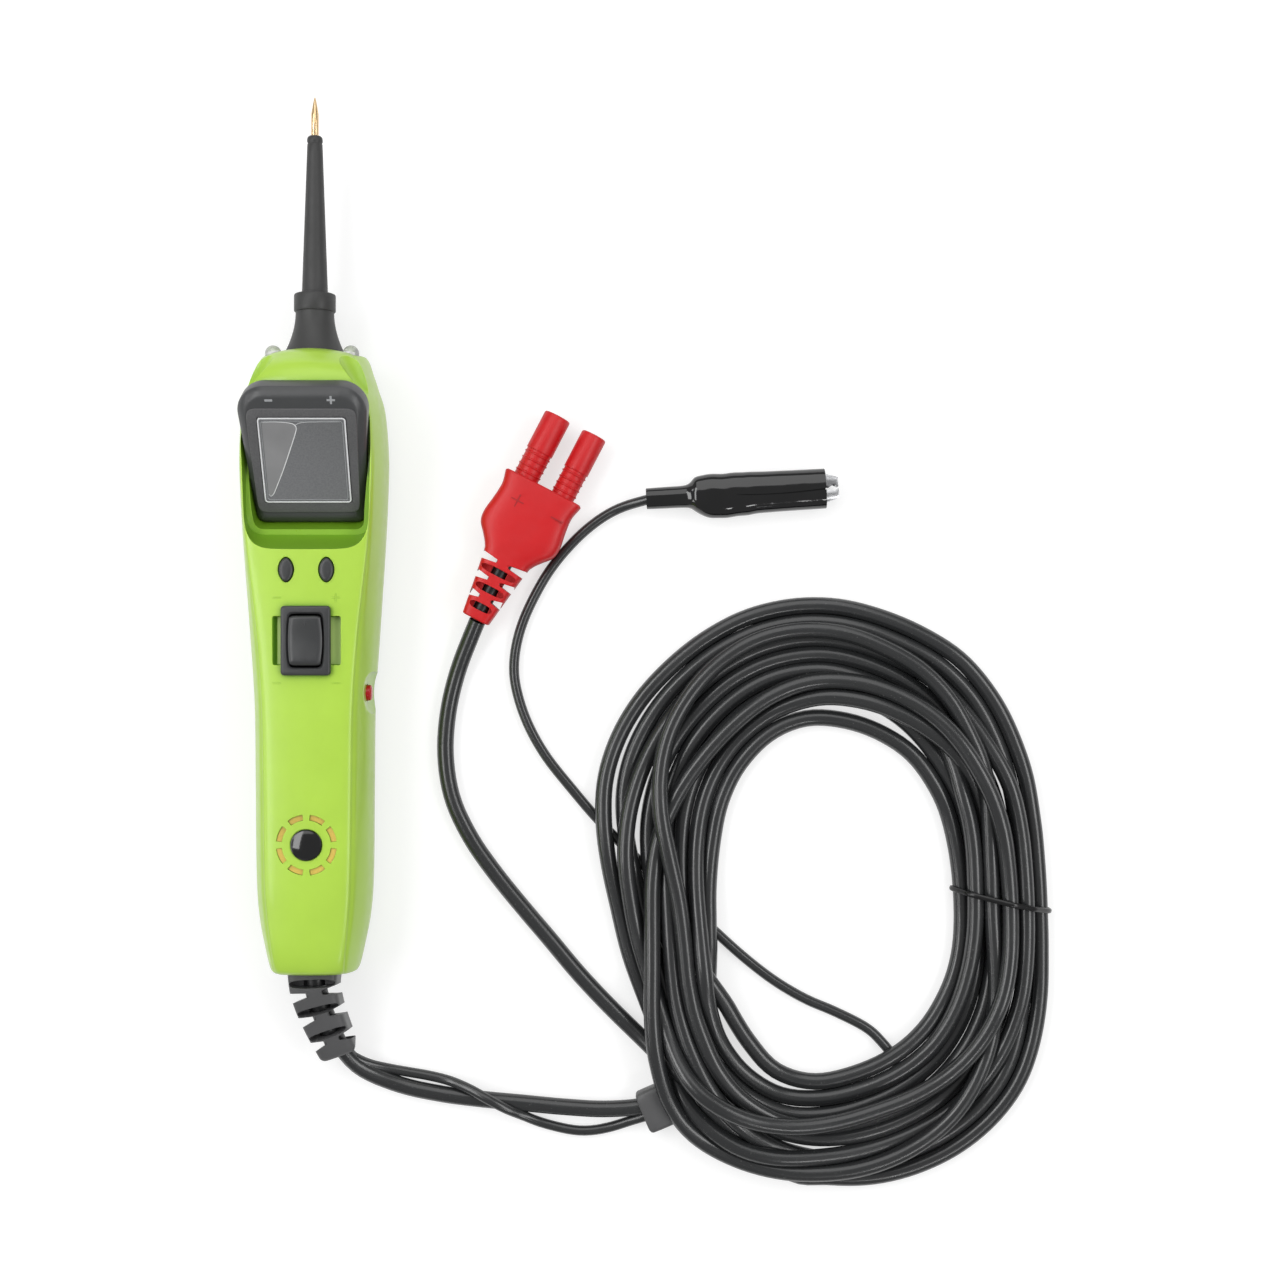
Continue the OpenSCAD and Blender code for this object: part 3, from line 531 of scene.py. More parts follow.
def moved(obj: Solid, place: Array) -> Solid:
    """Moves an object's mesh.

    Args:
        obj: Mesh object to move.
        place: How far it moves, in millimetres.

    Returns:
        The same object.
    """
    n = len(obj.data.vertices)
    co = np.empty(n * 3)
    obj.data.vertices.foreach_get("co", co)
    co = (co.reshape(-1, 3) + np.asarray(place, float) * MM).ravel()
    obj.data.vertices.foreach_set("co", co)
    obj.data.update()
    return obj


def block(name: str, low: list[float], high: list[float]) -> Solid:
    """Makes a cutting block between two corners in millimetres."""
    (x0, y0, z0), (x1, y1, z1) = low, high
    ring = np.array([[x0, y0], [x1, y0], [x1, y1], [x0, y1]])
    return standing(name, ring, z0, z1)


def standing(name: str, outline: Array, low: float, high: float) -> Solid:
    """Makes an upright solid over a flat outline, from one height to another."""
    return skinned(name, np.stack([lifted(outline, low), lifted(outline, high)]))


def rounded_solid(name: str, outline: Array, low: float, high: float, edge: float, steps: int = 4) -> Solid:
    """Makes an upright solid whose upper edge is a quarter round, by shrinking its outline to the middle.

    Args:
        name: Name of the object.
        outline: Outline round the origin, shape (n, 2).
        low: Height of the foot.
        high: Height of the top.
        edge: Radius of the upper edge.
        steps: Rings on the rounded edge.

    Returns:
        The new object.
    """
    turn = np.linspace(0, math.pi / 2, steps)
    curve = [(edge * (1 - math.cos(a)), high - edge + edge * math.sin(a)) for a in turn]
    return skinned(name, stepped(outline, [(0.0, low), *curve]))


def bevelled(obj: Solid, width: float, steps: int = 3, angle_deg: float = 30.0) -> None:
    """Rounds an object's sharp edges.

    Args:
        obj: Mesh object.
        width: Width of the round in millimetres.
        steps: Faces across each round.
        angle_deg: Edges that turn by more than this are rounded.
    """
    step = obj.modifiers.new("edges", "BEVEL")
    step.width = width * MM
    step.segments = steps
    step.limit_method = "ANGLE"
    step.angle_limit = math.radians(angle_deg)
    step.use_clamp_overlap = True
    apply_modifiers(obj)
    tidy_faces(obj, 50.0)


def softened(node: str, width: float, steps: int = 3) -> Solid:
    """Copies a CAD node, merges it and rounds its edges.

    Args:
        node: Name of the CAD node.
        width: Width of the round in millimetres.
        steps: Faces across each round.

    Returns:
        A new object that can stand for the node.
    """
    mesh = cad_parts[node].data.copy()
    mesh.name = f"{node}_soft"
    mesh.materials.clear()
    obj = linked(mesh.name, mesh)
    bm = bmesh.new()
    bm.from_mesh(mesh)
    bmesh.ops.remove_doubles(bm, verts=bm.verts, dist=MERGE_M)
    bmesh.ops.dissolve_limit(bm, angle_limit=math.radians(2.0), verts=bm.verts, edges=bm.edges)
    bm.to_mesh(mesh)
    bm.free()
    bevelled(obj, width, steps)
    return obj


# Finishes

Colour = tuple[float, float, float, float]
WHITE: Colour = (1.0, 1.0, 1.0, 1.0)


def srgb(red: int, green: int, blue: int) -> Colour:
    """Turns screen values of 0 to 255 into a scene colour by the usual display curve."""
    c = np.array([red, green, blue]) / 255
    line = np.where(c <= 0.04045, c / 12.92, ((c + 0.055) / 1.055) ** 2.4)
    return (float(line[0]), float(line[1]), float(line[2]), 1.0)


def shade(colour: Colour, share: float) -> Colour:
    """Darkens or brightens a colour by a share, to white at most."""
    return tuple(min(1.0, c * share) for c in colour[:3]) + (1.0,)


class Nodes:
    """The shader nodes of one material or world, added by type with their inputs."""

    def __init__(self, owner: bpy.types.Material | bpy.types.World) -> None:
        """Starts an empty tree.

        Args:
            owner: Material or world that the nodes belong to.
        """
        owner.use_nodes = True
        self.owner, self.tree = owner, owner.node_tree
        self.tree.nodes.clear()

    def add(self, kind: str, settings: dict[str, object] | None = None, **inputs: object) -> bpy.types.Node:
        """Adds a node.

        Args:
            kind: Blender's type of the node.
            settings: Properties of the node itself.
            inputs: Values or sockets for inputs; an underscore stands for a space in an input's name.

        Returns:
            The new node.
        """
        node = self.tree.nodes.new(kind)
        for key, value in (settings or {}).items():
            setattr(node, key, value)
        for key, value in inputs.items():
            socket = node.inputs[int(key[1:])] if key[0] == "_" else node.inputs[key.replace("_", " ")]
            if isinstance(value, Socket):
                self.tree.links.new(value, socket)
            else:
                socket.default_value = value
        return node

    def place(self) -> Socket:
        """Gives the place on the piece, in metres of the shared frame."""
        return self.add("ShaderNodeTexCoord").outputs["Object"]

    def noise(self, per_mm: float, detail: float = 2.0, at: Socket | None = None) -> Socket:
        """Adds cloudy noise.

        Args:
            per_mm: Number of clouds in a millimetre.
            detail: Number of finer layers.
            at: Place to read, the piece's own place by default.

        Returns:
            The socket with values around one half.
        """
        return self.add("ShaderNodeTexNoise", None, Vector=at or self.place(), Scale=per_mm / MM,
                        Detail=detail, Roughness=0.55).outputs["Fac"]

    def spread(self, value: Socket, low: float, high: float, start: float = 0.3, end: float = 0.7) -> Socket:
        """Maps a value from start..end to low..high, held at the ends."""
        return self.add("ShaderNodeMapRange", None, Value=value, From_Min=start, From_Max=end, To_Min=low,
                        To_Max=high).outputs["Result"]

    def blend(self, share: Socket, first: object, second: object) -> Socket:
        """Mixes two colours by a share."""
        return self.add("ShaderNodeMix", {"data_type": "RGBA"}, _0=share, _6=first, _7=second).outputs[2]

    def times(self, first: object, second: object) -> Socket:
        """Multiplies two colours."""
        settings = {"data_type": "RGBA", "blend_type": "MULTIPLY"}
        return self.add("ShaderNodeMix", settings, _0=1.0, _6=first, _7=second).outputs[2]

    def calc(self, operation: str, first: object, second: object) -> Socket:
        """Works out one value from two."""
        return self.add("ShaderNodeMath", {"operation": operation}, _0=first, _1=second).outputs[0]

    def bump(self, height: Socket, depth_mm: float, under: Socket | None = None) -> Socket:
        """Raises the surface by a height times a depth, over another bump where one is given."""
        inputs = {"Height": height, "Strength": 1.0, "Distance": depth_mm * MM}
        if under is not None:
            inputs["Normal"] = under
        return self.add("ShaderNodeBump", None, **inputs).outputs["Normal"]

    def finish(self, shader: bpy.types.Node) -> bpy.types.Material:
        """Sends a shader to the output and hands back the material."""
        self.add("ShaderNodeOutputMaterial", None, Surface=shader.outputs[0])
        return self.owner

    def surface(self, **inputs: object) -> bpy.types.Node:
        """Adds the principled shader with its inputs."""
        return self.add("ShaderNodeBsdfPrincipled", None, **inputs)


@dataclass(frozen=True)
class Moulding:
    """Moulded plastic or rubber: slightly clouded colour, fine spark texture and rounded edges, with painted shade
    in its hollows and painted highlights along its edges where these are asked for.
    """

    name: str
    colour: Colour
    roughness: float = 0.45
    cloud: float = 0.12
    grain_mm: float = 0.25
    grain_depth: float = 0.004
    wave_depth: float = 0.05
    coat: float = 0.0
    coat_roughness: float = 0.1
    edge_mm: float = 0.0
    specular: float = 0.5
    subsurface: float = 0.0
    cavity_shade_mm: float = 0.0
    cavity_shade_tint: Colour = (0.22, 0.44, 0.1, 1.0)
    edge_highlight_and_wear_gain: float = 0.0
    fleck: float = 0.0

    def material(self) -> bpy.types.Material:
        """Builds the material, read in the piece's own place.

        Returns:
            The material.
        """
        n = Nodes(bpy.data.materials.new(self.name))
        clouds = n.noise(0.06, 3.0)
        grain = n.noise(1 / self.grain_mm, 2.0)
        dark, light = (shade(self.colour, 1 + way * self.cloud) for way in (-1, 1))
        colour = n.blend(n.spread(clouds, 0, 1), dark, light)
        rough = n.spread(n.noise(0.35, 3.0), self.roughness * 0.88, self.roughness * 1.12)
        if self.fleck:
            flecked = n.times(colour, shade(WHITE, 1 - self.fleck))
            colour = n.blend(n.spread(grain, 0, 1, 0.35, 0.65), flecked, colour)
        edge = None
        if self.edge_mm:
            edge = n.add("ShaderNodeBevel", {"samples": 4}, Radius=self.edge_mm * MM).outputs["Normal"]
        # Painted shade: the colour is darkened towards the tint where ambient occlusion finds nearby surfaces, in
        # hollows, corners and the display pocket.
        if self.cavity_shade_mm:
            occlusion = n.add("ShaderNodeAmbientOcclusion", {"samples": 6}, Distance=self.cavity_shade_mm * MM)
            deep = n.times(colour, self.cavity_shade_tint)
            colour = n.blend(n.spread(occlusion.outputs["AO"], 0, 1, 0.35, 0.92), deep, colour)
        # Painted highlight: the colour is brightened along rounded edges, where the bevel normal turns away from the
        # true normal; on the dark mouldings it also stands for a little rub wear.
        if self.edge_highlight_and_wear_gain:
            flat = n.add("ShaderNodeNewGeometry").outputs["True Normal"]
            facing = n.add("ShaderNodeVectorMath", {"operation": "DOT_PRODUCT"}, _0=flat, _1=edge)
            edge_highlight_and_wear = n.spread(facing.outputs["Value"], 1, 0, 0.8, 0.99)
            colour = n.blend(edge_highlight_and_wear, colour, shade(self.colour, 1 + self.edge_highlight_and_wear_gain))
        normal = n.bump(n.noise(0.12, 1.0), self.wave_depth, edge)
        normal = n.bump(grain, self.grain_depth, normal)
        shader = n.surface(Base_Color=colour, Roughness=rough, Normal=normal, Coat_Weight=self.coat,
                           Coat_Roughness=self.coat_roughness, Specular_IOR_Level=self.specular)
        if self.subsurface:
            shader.inputs["Subsurface Weight"].default_value = self.subsurface
            shader.inputs["Subsurface Radius"].default_value = (1.0, 1.0, 0.4)
            shader.inputs["Subsurface Scale"].default_value = 0.8 * MM
        return n.finish(shader)


@dataclass(frozen=True)
class Metal:
    """Bare or plated metal with fine turning or brushing marks and faint tarnish."""

    name: str
    colour: Colour
    tarnish: Colour
    roughness: float = 0.22
    mark_mm: float = 0.08
    mark_depth: float = 0.002
    stretch: Place = (1.0, 1.0, 1.0)

    def material(self) -> bpy.types.Material:
        """Builds the material, read in the piece's own place.

        Returns:
            The material.
        """
        n = Nodes(bpy.data.materials.new(self.name))
        along = n.add("ShaderNodeMapping", None, Vector=n.place(), Scale=self.stretch).outputs["Vector"]
        marks = n.noise(1 / self.mark_mm, 2.0, along)
        colour = n.blend(n.spread(n.noise(0.5, 4.0), 0, 0.55), self.colour, self.tarnish)
        rough = n.spread(marks, self.roughness * 0.7, self.roughness * 1.4)
        normal = n.bump(marks, self.mark_depth)
        return n.finish(n.surface(Base_Color=colour, Metallic=1.0, Roughness=rough, Normal=normal))


@dataclass(frozen=True)
class Clear:
    """Clear cast plastic or glass, slightly tinted, with a faint cast swirl."""

    name: str
    colour: Colour
    roughness: float = 0.04
    transmission: float = 1.0
    ior: float = 1.5

    def material(self) -> bpy.types.Material:
        """Builds the material, read in the piece's own place.

        Returns:
            The material.
        """
        n = Nodes(bpy.data.materials.new(self.name))
        swirl = n.bump(n.noise(0.4, 2.0), 0.01)
        rough = n.spread(n.noise(0.8, 2.0), self.roughness * 0.5, self.roughness * 1.5)
        colour = n.blend(n.spread(n.noise(0.2), 0, 1), self.colour, WHITE)
        return n.finish(n.surface(Base_Color=colour, Roughness=rough, IOR=self.ior, Normal=swirl,
                                  Transmission_Weight=self.transmission))


@dataclass(frozen=True)
class Vinyl:
    """Dipped glossy vinyl: deep black, sharply reflecting, with soft low dents."""

    name: str
    colour: Colour
    roughness: float = 0.07
    dent_mm: float = 6.0
    dent_depth: float = 0.12

    def material(self) -> bpy.types.Material:
        """Builds the material, read in the piece's own place.

        Returns:
            The material.
        """
        n = Nodes(bpy.data.materials.new(self.name))
        dents = n.bump(n.noise(1 / self.dent_mm, 1.0), self.dent_depth)
        fine = n.bump(n.noise(1.5, 2.0), 0.004, dents)
        rough = n.spread(n.noise(0.3, 3.0), self.roughness * 0.7, self.roughness * 1.6)
        colour = n.blend(n.spread(n.noise(0.1), 0, 1), self.colour, shade(self.colour, 1.5))
        return n.finish(n.surface(Base_Color=colour, Roughness=rough, Normal=fine, Specular_IOR_Level=0.8))


@dataclass(frozen=True)
class Jacket:
    """Satin jacket of a lead: faint scuffs and dust that run along it, on its own length and girth."""

    name: str
    colour: Colour
    dust: Colour
    roughness: float = 0.4

    def material(self) -> bpy.types.Material:
        """Builds the material.

        Returns:
            The material, which reads the lead's own map of length and girth.
        """
        n = Nodes(bpy.data.materials.new(self.name))
        along = n.add("ShaderNodeUVMap", {"uv_map": "length_girth"}).outputs["UV"]
        drawn = n.add("ShaderNodeMapping", None, Vector=along, Scale=(60.0, 9.0, 1.0)).outputs["Vector"]
        scuff = n.add("ShaderNodeTexNoise", None, Vector=drawn, Scale=1.0, Detail=3.0).outputs["Fac"]
        colour = n.blend(n.spread(n.noise(1.6, 1.0), 0, 0.35, 0.7, 0.8), self.colour, self.dust)
        rough = n.spread(scuff, self.roughness * 0.8, self.roughness * 1.3)
        normal = n.bump(scuff, 0.02)
        normal = n.bump(n.noise(3.0, 1.0), 0.006, normal)
        return n.finish(n.surface(Base_Color=colour, Roughness=rough, Normal=normal, Specular_IOR_Level=0.75))


Finish = Moulding | Metal | Clear | Vinyl | Jacket

# The green case gets painted shade in its hollows and painted highlights along its edges.
GREEN = Moulding("green_case", srgb(178, 218, 74), 0.36, 0.03, 0.3, 0.003, 0.03, edge_mm=0.4, coat=0.3,
                 coat_roughness=0.16, subsurface=0.06, cavity_shade_mm=9.0, edge_highlight_and_wear_gain=0.35)
# The bezel, face plate and switch plastics get painted highlights along their edges, with a little rub wear.
BEZEL = Moulding("bezel_plastic", srgb(68, 69, 70), 0.34, 0.05, 0.35, 0.006, 0.02, edge_mm=0.3, edge_highlight_and_wear_gain=0.7)
FACEPLATE = Moulding("bezel_textured", srgb(94, 94, 95), 0.42, 0.06, 0.45, 0.03, 0.0, edge_mm=0.2,
                     edge_highlight_and_wear_gain=0.5, fleck=0.2)
# Painted shade and painted light for the display pocket: a deeper green on its wall, a paler one on its level ledge.
GREEN_POCKET_PAINTED_SHADE = Moulding("green_pocket_painted_shade", srgb(110, 157, 32), 0.34, 0.03, 0.3, 0.001, 0.02, coat=0.2,
                      coat_roughness=0.2)
GREEN_LEDGE_PAINTED_LIGHT = Moulding("green_ledge_painted_light", srgb(158, 204, 74), 0.3, 0.03, 0.3, 0.003, 0.02, coat=0.3)
# Paler green for the lit floor of the rocker recess: painted light.
GREEN_RECESS_PAINTED_LIGHT = Moulding("green_recess_painted_light", srgb(178, 208, 118), 0.5, 0.03, 0.3, 0.003, 0.02)
# Pale print, also used for a grey line of painted highlight on the lens edge.
PRINT_AND_HIGHLIGHT = Moulding("pale_print_and_highlight", srgb(158, 160, 162), 0.5, 0.05)
SWITCH = Moulding("switch_plastic", srgb(58, 59, 60), 0.34, 0.05, 0.3, 0.012, 0.02, edge_mm=0.2,
                  edge_highlight_and_wear_gain=0.6)
RUBBER = Moulding("probe_rubber", srgb(55, 55, 55), 0.5, 0.08, 0.2, 0.006, 0.04)
BOOT_RUBBER = Moulding("boot_rubber", srgb(86, 86, 87), 0.42, 0.08, 0.2, 0.006, 0.04, edge_mm=0.3)
RED_BUTTON = Moulding("red_button", srgb(200, 22, 28), 0.28, 0.04, coat=0.2)
RED_RUBBER = Moulding("red_rubber", srgb(205, 15, 22), 0.42, 0.05, 0.35, 0.014, 0.05, edge_mm=0.3,
                      subsurface=0.05)
RED_SHADE = Moulding("red_shade", srgb(168, 18, 24), 0.5, 0.05)
BOARD = Moulding("board", srgb(20, 92, 45), 0.3, 0.2, 0.5, 0.02, 0.0, coat=0.4)
MODULE = Moulding("module_plastic", srgb(190, 190, 188), 0.4, 0.05)
BADGE = Moulding("badge_gloss", srgb(18, 18, 19), 0.12, 0.1, 0.5, 0.001, 0.02, coat=0.6, coat_roughness=0.04)
TIE = Moulding("tie_vinyl", srgb(20, 20, 21), 0.25, 0.1)
BRASS = Metal("brass", srgb(240, 212, 170), srgb(206, 166, 112), 0.24, 0.06, 0.002, (1.0, 0.06, 1.0))
SLOT_BRASS = Moulding("sounder_brass", srgb(228, 194, 86), 0.3, 0.1, 0.4, 0.01, 0.0, specular=0.9, fleck=0.12)
STEEL = Metal("plated_steel", srgb(205, 206, 208), srgb(150, 150, 152), 0.24, 0.15, 0.004)
LENS = Moulding("smoked_lens", srgb(118, 119, 121), 0.12, 0.02, 0.45, 0.0, 0.01, coat=0.3,
                coat_roughness=0.03, fleck=0.16)
# Pale lines of painted highlight on the lens edge and along the film creases.
PALE_EDGE_HIGHLIGHT = Moulding("pale_edge_highlight", srgb(222, 223, 224), 0.2, 0.02, coat=0.3)
FILM = Moulding("lens_film", srgb(136, 136, 137), 0.2, 0.1, 0.4, 0.0, 0.02, coat=0.3, coat_roughness=0.05)
LAMP_GLASS = Clear("lamp_glass", (0.76, 0.76, 0.74, 1.0), 0.06, 0.6)
CORE = Moulding("lead_core", srgb(26, 27, 28), 0.35, 0.1, 0.3, 0.005)
VINYL = Vinyl("clip_vinyl", srgb(14, 14, 15))
LEAD_JACKET = Jacket("lead_jacket", srgb(42, 43, 44), srgb(130, 130, 128), 0.24)

MATERIALS: dict[str, bpy.types.Material] = {}


def dress(obj: Solid, finish: Finish, keep_first: bool = False) -> None:
    """Gives an object one finish, built once.

    Args:
        obj: Mesh object.
        finish: The finish.
        keep_first: Whether it comes after the finish that the object has.
    """
    if finish.name not in MATERIALS:
        MATERIALS[finish.name] = finish.material()
    if not keep_first:
        obj.data.materials.clear()
    obj.data.materials.append(MATERIALS[finish.name])


def fit(obj: Solid, finish: Finish, nodes: tuple[str, ...] = (), body: str = TESTER) -> Solid:
    """Dresses a new piece, puts it on its body and lets it stand for its CAD nodes.

    Args:
        obj: The new piece.
        finish: Its finish.
        nodes: CAD nodes that it stands for, if any.
        body: CAD body that carries it.

    Returns:
        The piece.
    """
    dress(obj, finish)
    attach(obj, body)
    if nodes:
        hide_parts(*nodes)
    LOG.info("%s: %d faces", obj.name, len(obj.data.polygons))
    return obj


def keep(node: str, finish: Finish) -> Solid:
    """Keeps a CAD node as it is, in a finished material.

    Args:
        node: Name of the CAD node.
        finish: Its finish.

    Returns:
        The node's object.
    """
    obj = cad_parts[node]
    dress(obj, finish)
    LOG.info("%s kept", node)
    return obj


# Camera, light and floor

@dataclass
class Studio:
    """White table under soft lamps, seen from straight above.

    Places are in metres. Each lamp has a name, a place, its width and height, and its power in watts.
    """

    eye: Place = (0.1007, -0.033, 0.600)
    lens_mm: float = 53.2
    sensor_mm: float = 36.0
    floor_half: float = 1.5
    lamps: tuple[tuple[str, Place, Pair, float], ...] = (
        ("key", (-0.5, 0.1, 0.85), (0.3, 0.9), 3.8), ("side", (-0.7, -0.05, 0.42), (0.12, 0.9), 1.2),
        ("fill", (0.75, -0.05, 0.75), (0.3, 0.9), 3.3), ("back", (0.1, 0.66, 0.70), (0.9, 0.9), 3.3),
        ("glint", (0.4, -0.6, 0.6), (0.08, 0.25), 0.5))
    sky: float = 0.28
    floor_glow: float = 0.64

    def camera(self) -> None:
        """Puts the camera over the table, with the tester's length upright in the frame."""
        data = bpy.data.cameras.new("camera")
        data.lens, data.sensor_width = self.lens_mm, self.sensor_mm
        obj = linked("camera", data)
        obj.location = self.eye
        bpy.context.scene.camera = obj

    def lamp(self, name: str, place: Place, size: Pair, watts: float) -> None:
        """Adds a soft rectangular lamp that faces the middle of the table.

        Args:
            name: Name of the lamp.
            place: Its place.
            size: Width and height.
            watts: Power.
        """
        data = bpy.data.lights.new(name, "AREA")
        data.shape = "RECTANGLE"
        data.size, data.size_y = size
        data.energy = watts
        obj = linked(name, data)
        obj.location = place
        aim = unit(np.array([self.eye[0], self.eye[1], 0.0]) - np.array(place))
        yaw, pitch = math.atan2(aim[1], aim[0]), math.acos(-aim[2])
        obj.rotation_euler = (0.0, -pitch, yaw)

    def seen_white(self, n: Nodes) -> Socket:
        """Gives 1 for rays that show a background: straight from the camera, mirrored or through glass."""
        path = n.add("ShaderNodeLightPath").outputs
        first = n.calc("MAXIMUM", path["Is Camera Ray"], path["Is Glossy Ray"])
        return n.calc("MAXIMUM", first, path["Is Transmission Ray"])

    def world(self) -> None:
        """Sets an even pale sky, white where it is seen."""
        world = bpy.data.worlds.new("studio")
        n = Nodes(world)
        seen = n.add("ShaderNodeLightPath").outputs["Is Camera Ray"]
        strength = n.spread(seen, self.sky, 1.0, 0.0, 1.0)
        sky = n.add("ShaderNodeBackground", None, Color=WHITE, Strength=strength)
        n.add("ShaderNodeOutputWorld", None, Surface=sky.outputs[0])
        bpy.context.scene.world = world

    def floor(self) -> None:
        """Lays the white table, which glows where it is seen, more with the distance."""
        corners = np.array([[-1, -1], [1, -1], [1, 1], [-1, 1]]) * self.floor_half / MM
        obj = piece_from("table", lifted(corners, 0.0), [[0, 1, 2, 3]])
        n = Nodes(bpy.data.materials.new("table_white"))
        seen = self.seen_white(n)
        away = n.add("ShaderNodeVectorMath", {"operation": "LENGTH"}, _0=n.place()).outputs["Value"]
        glow = n.calc("MULTIPLY", seen, n.spread(away, self.floor_glow, 1.0, 0.3, 1.0))
        lit = n.add("ShaderNodeBsdfDiffuse", None, Color=(0.45, 0.45, 0.45, 1.0))
        shine = n.add("ShaderNodeEmission", None, Strength=glow)
        both = n.add("ShaderNodeAddShader", None, _0=lit.outputs[0], _1=shine.outputs[0])
        obj.data.materials.append(n.finish(both))

    def build(self) -> None:
        """Sets up camera, lamps, sky and table."""
        self.camera()
        self.world()
        self.floor()
        for lamp in self.lamps:
            self.lamp(*lamp)
        bpy.context.scene.view_settings.view_transform = "Standard"


# Leads

@dataclass(frozen=True)
class Route:
    """Points of the leads between the pieces that they join, in millimetres."""

    power_out: tuple[Place, ...] = (
        (4.6, -156.4, 9.4), (6.2, -159.4, 8.5), (8.4, -163, 7.2), (11.6, -166.4, 5.6), (16.2, -169.8, 3.9),
        (22, -172.4, 2.8), (28.1, -174.3, 2.6), (34.4, -175.7, 2.5), (40.7, -176.7, 2.5), (53.3, -178.3, 2.5),
        (66, -179.4, 2.5), (78.6, -180.6, 2.5), (87, -181.1, 2.6), (94, -180.8, 3.0), (100, -180.0, 3.4),
        (106, -178.8, 3.3), (111.4, -176.4, 2.8), (116, -172.6, 2.5), (119.4, -167.4, 2.5), (121.4, -161, 2.5),
        (122.2, -154, 2.5))
    power_home: tuple[Place, ...] = (
        (120.5, -175.4, 7.2), (115.6, -171.4, 8.0), (110.4, -166.6, 6.6), (105, -161.7, 4.4),
        (99.2, -156.6, 2.9), (89.4, -147, 2.5),
        (80.5, -137.4, 2.5), (71.5, -126.6, 2.5), (62, -115.4, 2.5), (53, -104, 2.5), (45.6, -92.6, 2.5),
        (40.7, -80.4, 2.5), (39.2, -67, 2.5), (40.4, -54, 2.5), (43.6, -41.5, 2.8), (47, -33, 4.4), (49.6, -27, 5.8))
    ground: tuple[Place, ...] = (
        (5.4, -157.4, 8.4), (7.4, -160.4, 7.8), (10.4, -163.4, 6.6), (15.3, -166.4, 4.4), (21.6, -168.4, 2.4),
        (27.9, -169.7, 1.7), (34.3, -170.8, 1.8), (40.6, -172.2, 2.6), (46.9, -174.2, 4.9), (53.2, -177.2, 6.6),
        (58.4, -180.2, 5.6), (63.6, -182.9, 3.2), (70, -185.7, 1.8), (78.6, -187.8, 1.7), (84.9, -188.1, 1.7),
        (91.2, -187, 1.8), (97.5, -184.9, 2.4), (103, -183, 3.3), (110, -180.6, 2.6), (118, -180, 1.7),
        (132, -182, 1.7), (150, -186, 1.7), (166, -187.5, 1.7), (177, -184, 1.7), (182.6, -175, 1.7),
        (181.3, -166, 1.7), (176.5, -159.4, 1.7), (171.6, -155.2, 1.7), (162.3, -150.5, 1.7), (152.8, -146.4, 1.7),
        (143.3, -140.8, 1.7), (133.9, -133.6, 1.7), (124.4, -125.1, 1.7), (111, -112.6, 1.7), (98, -100.5, 1.7),
        (88, -90.4, 1.7), (79.4, -80.4, 1.7), (70.8, -69.5, 1.7), (65, -59, 1.7), (61.6, -48.5, 1.7),
        (60.9, -40, 1.7), (62.6, -30.5, 1.7), (66.4, -21, 1.7), (72.4, -10.6, 1.7), (80, -1.6, 1.7),
        (87.6, 4.9, 1.8), (95, 8.9, 2.6), (104, 11.4, 5.1))


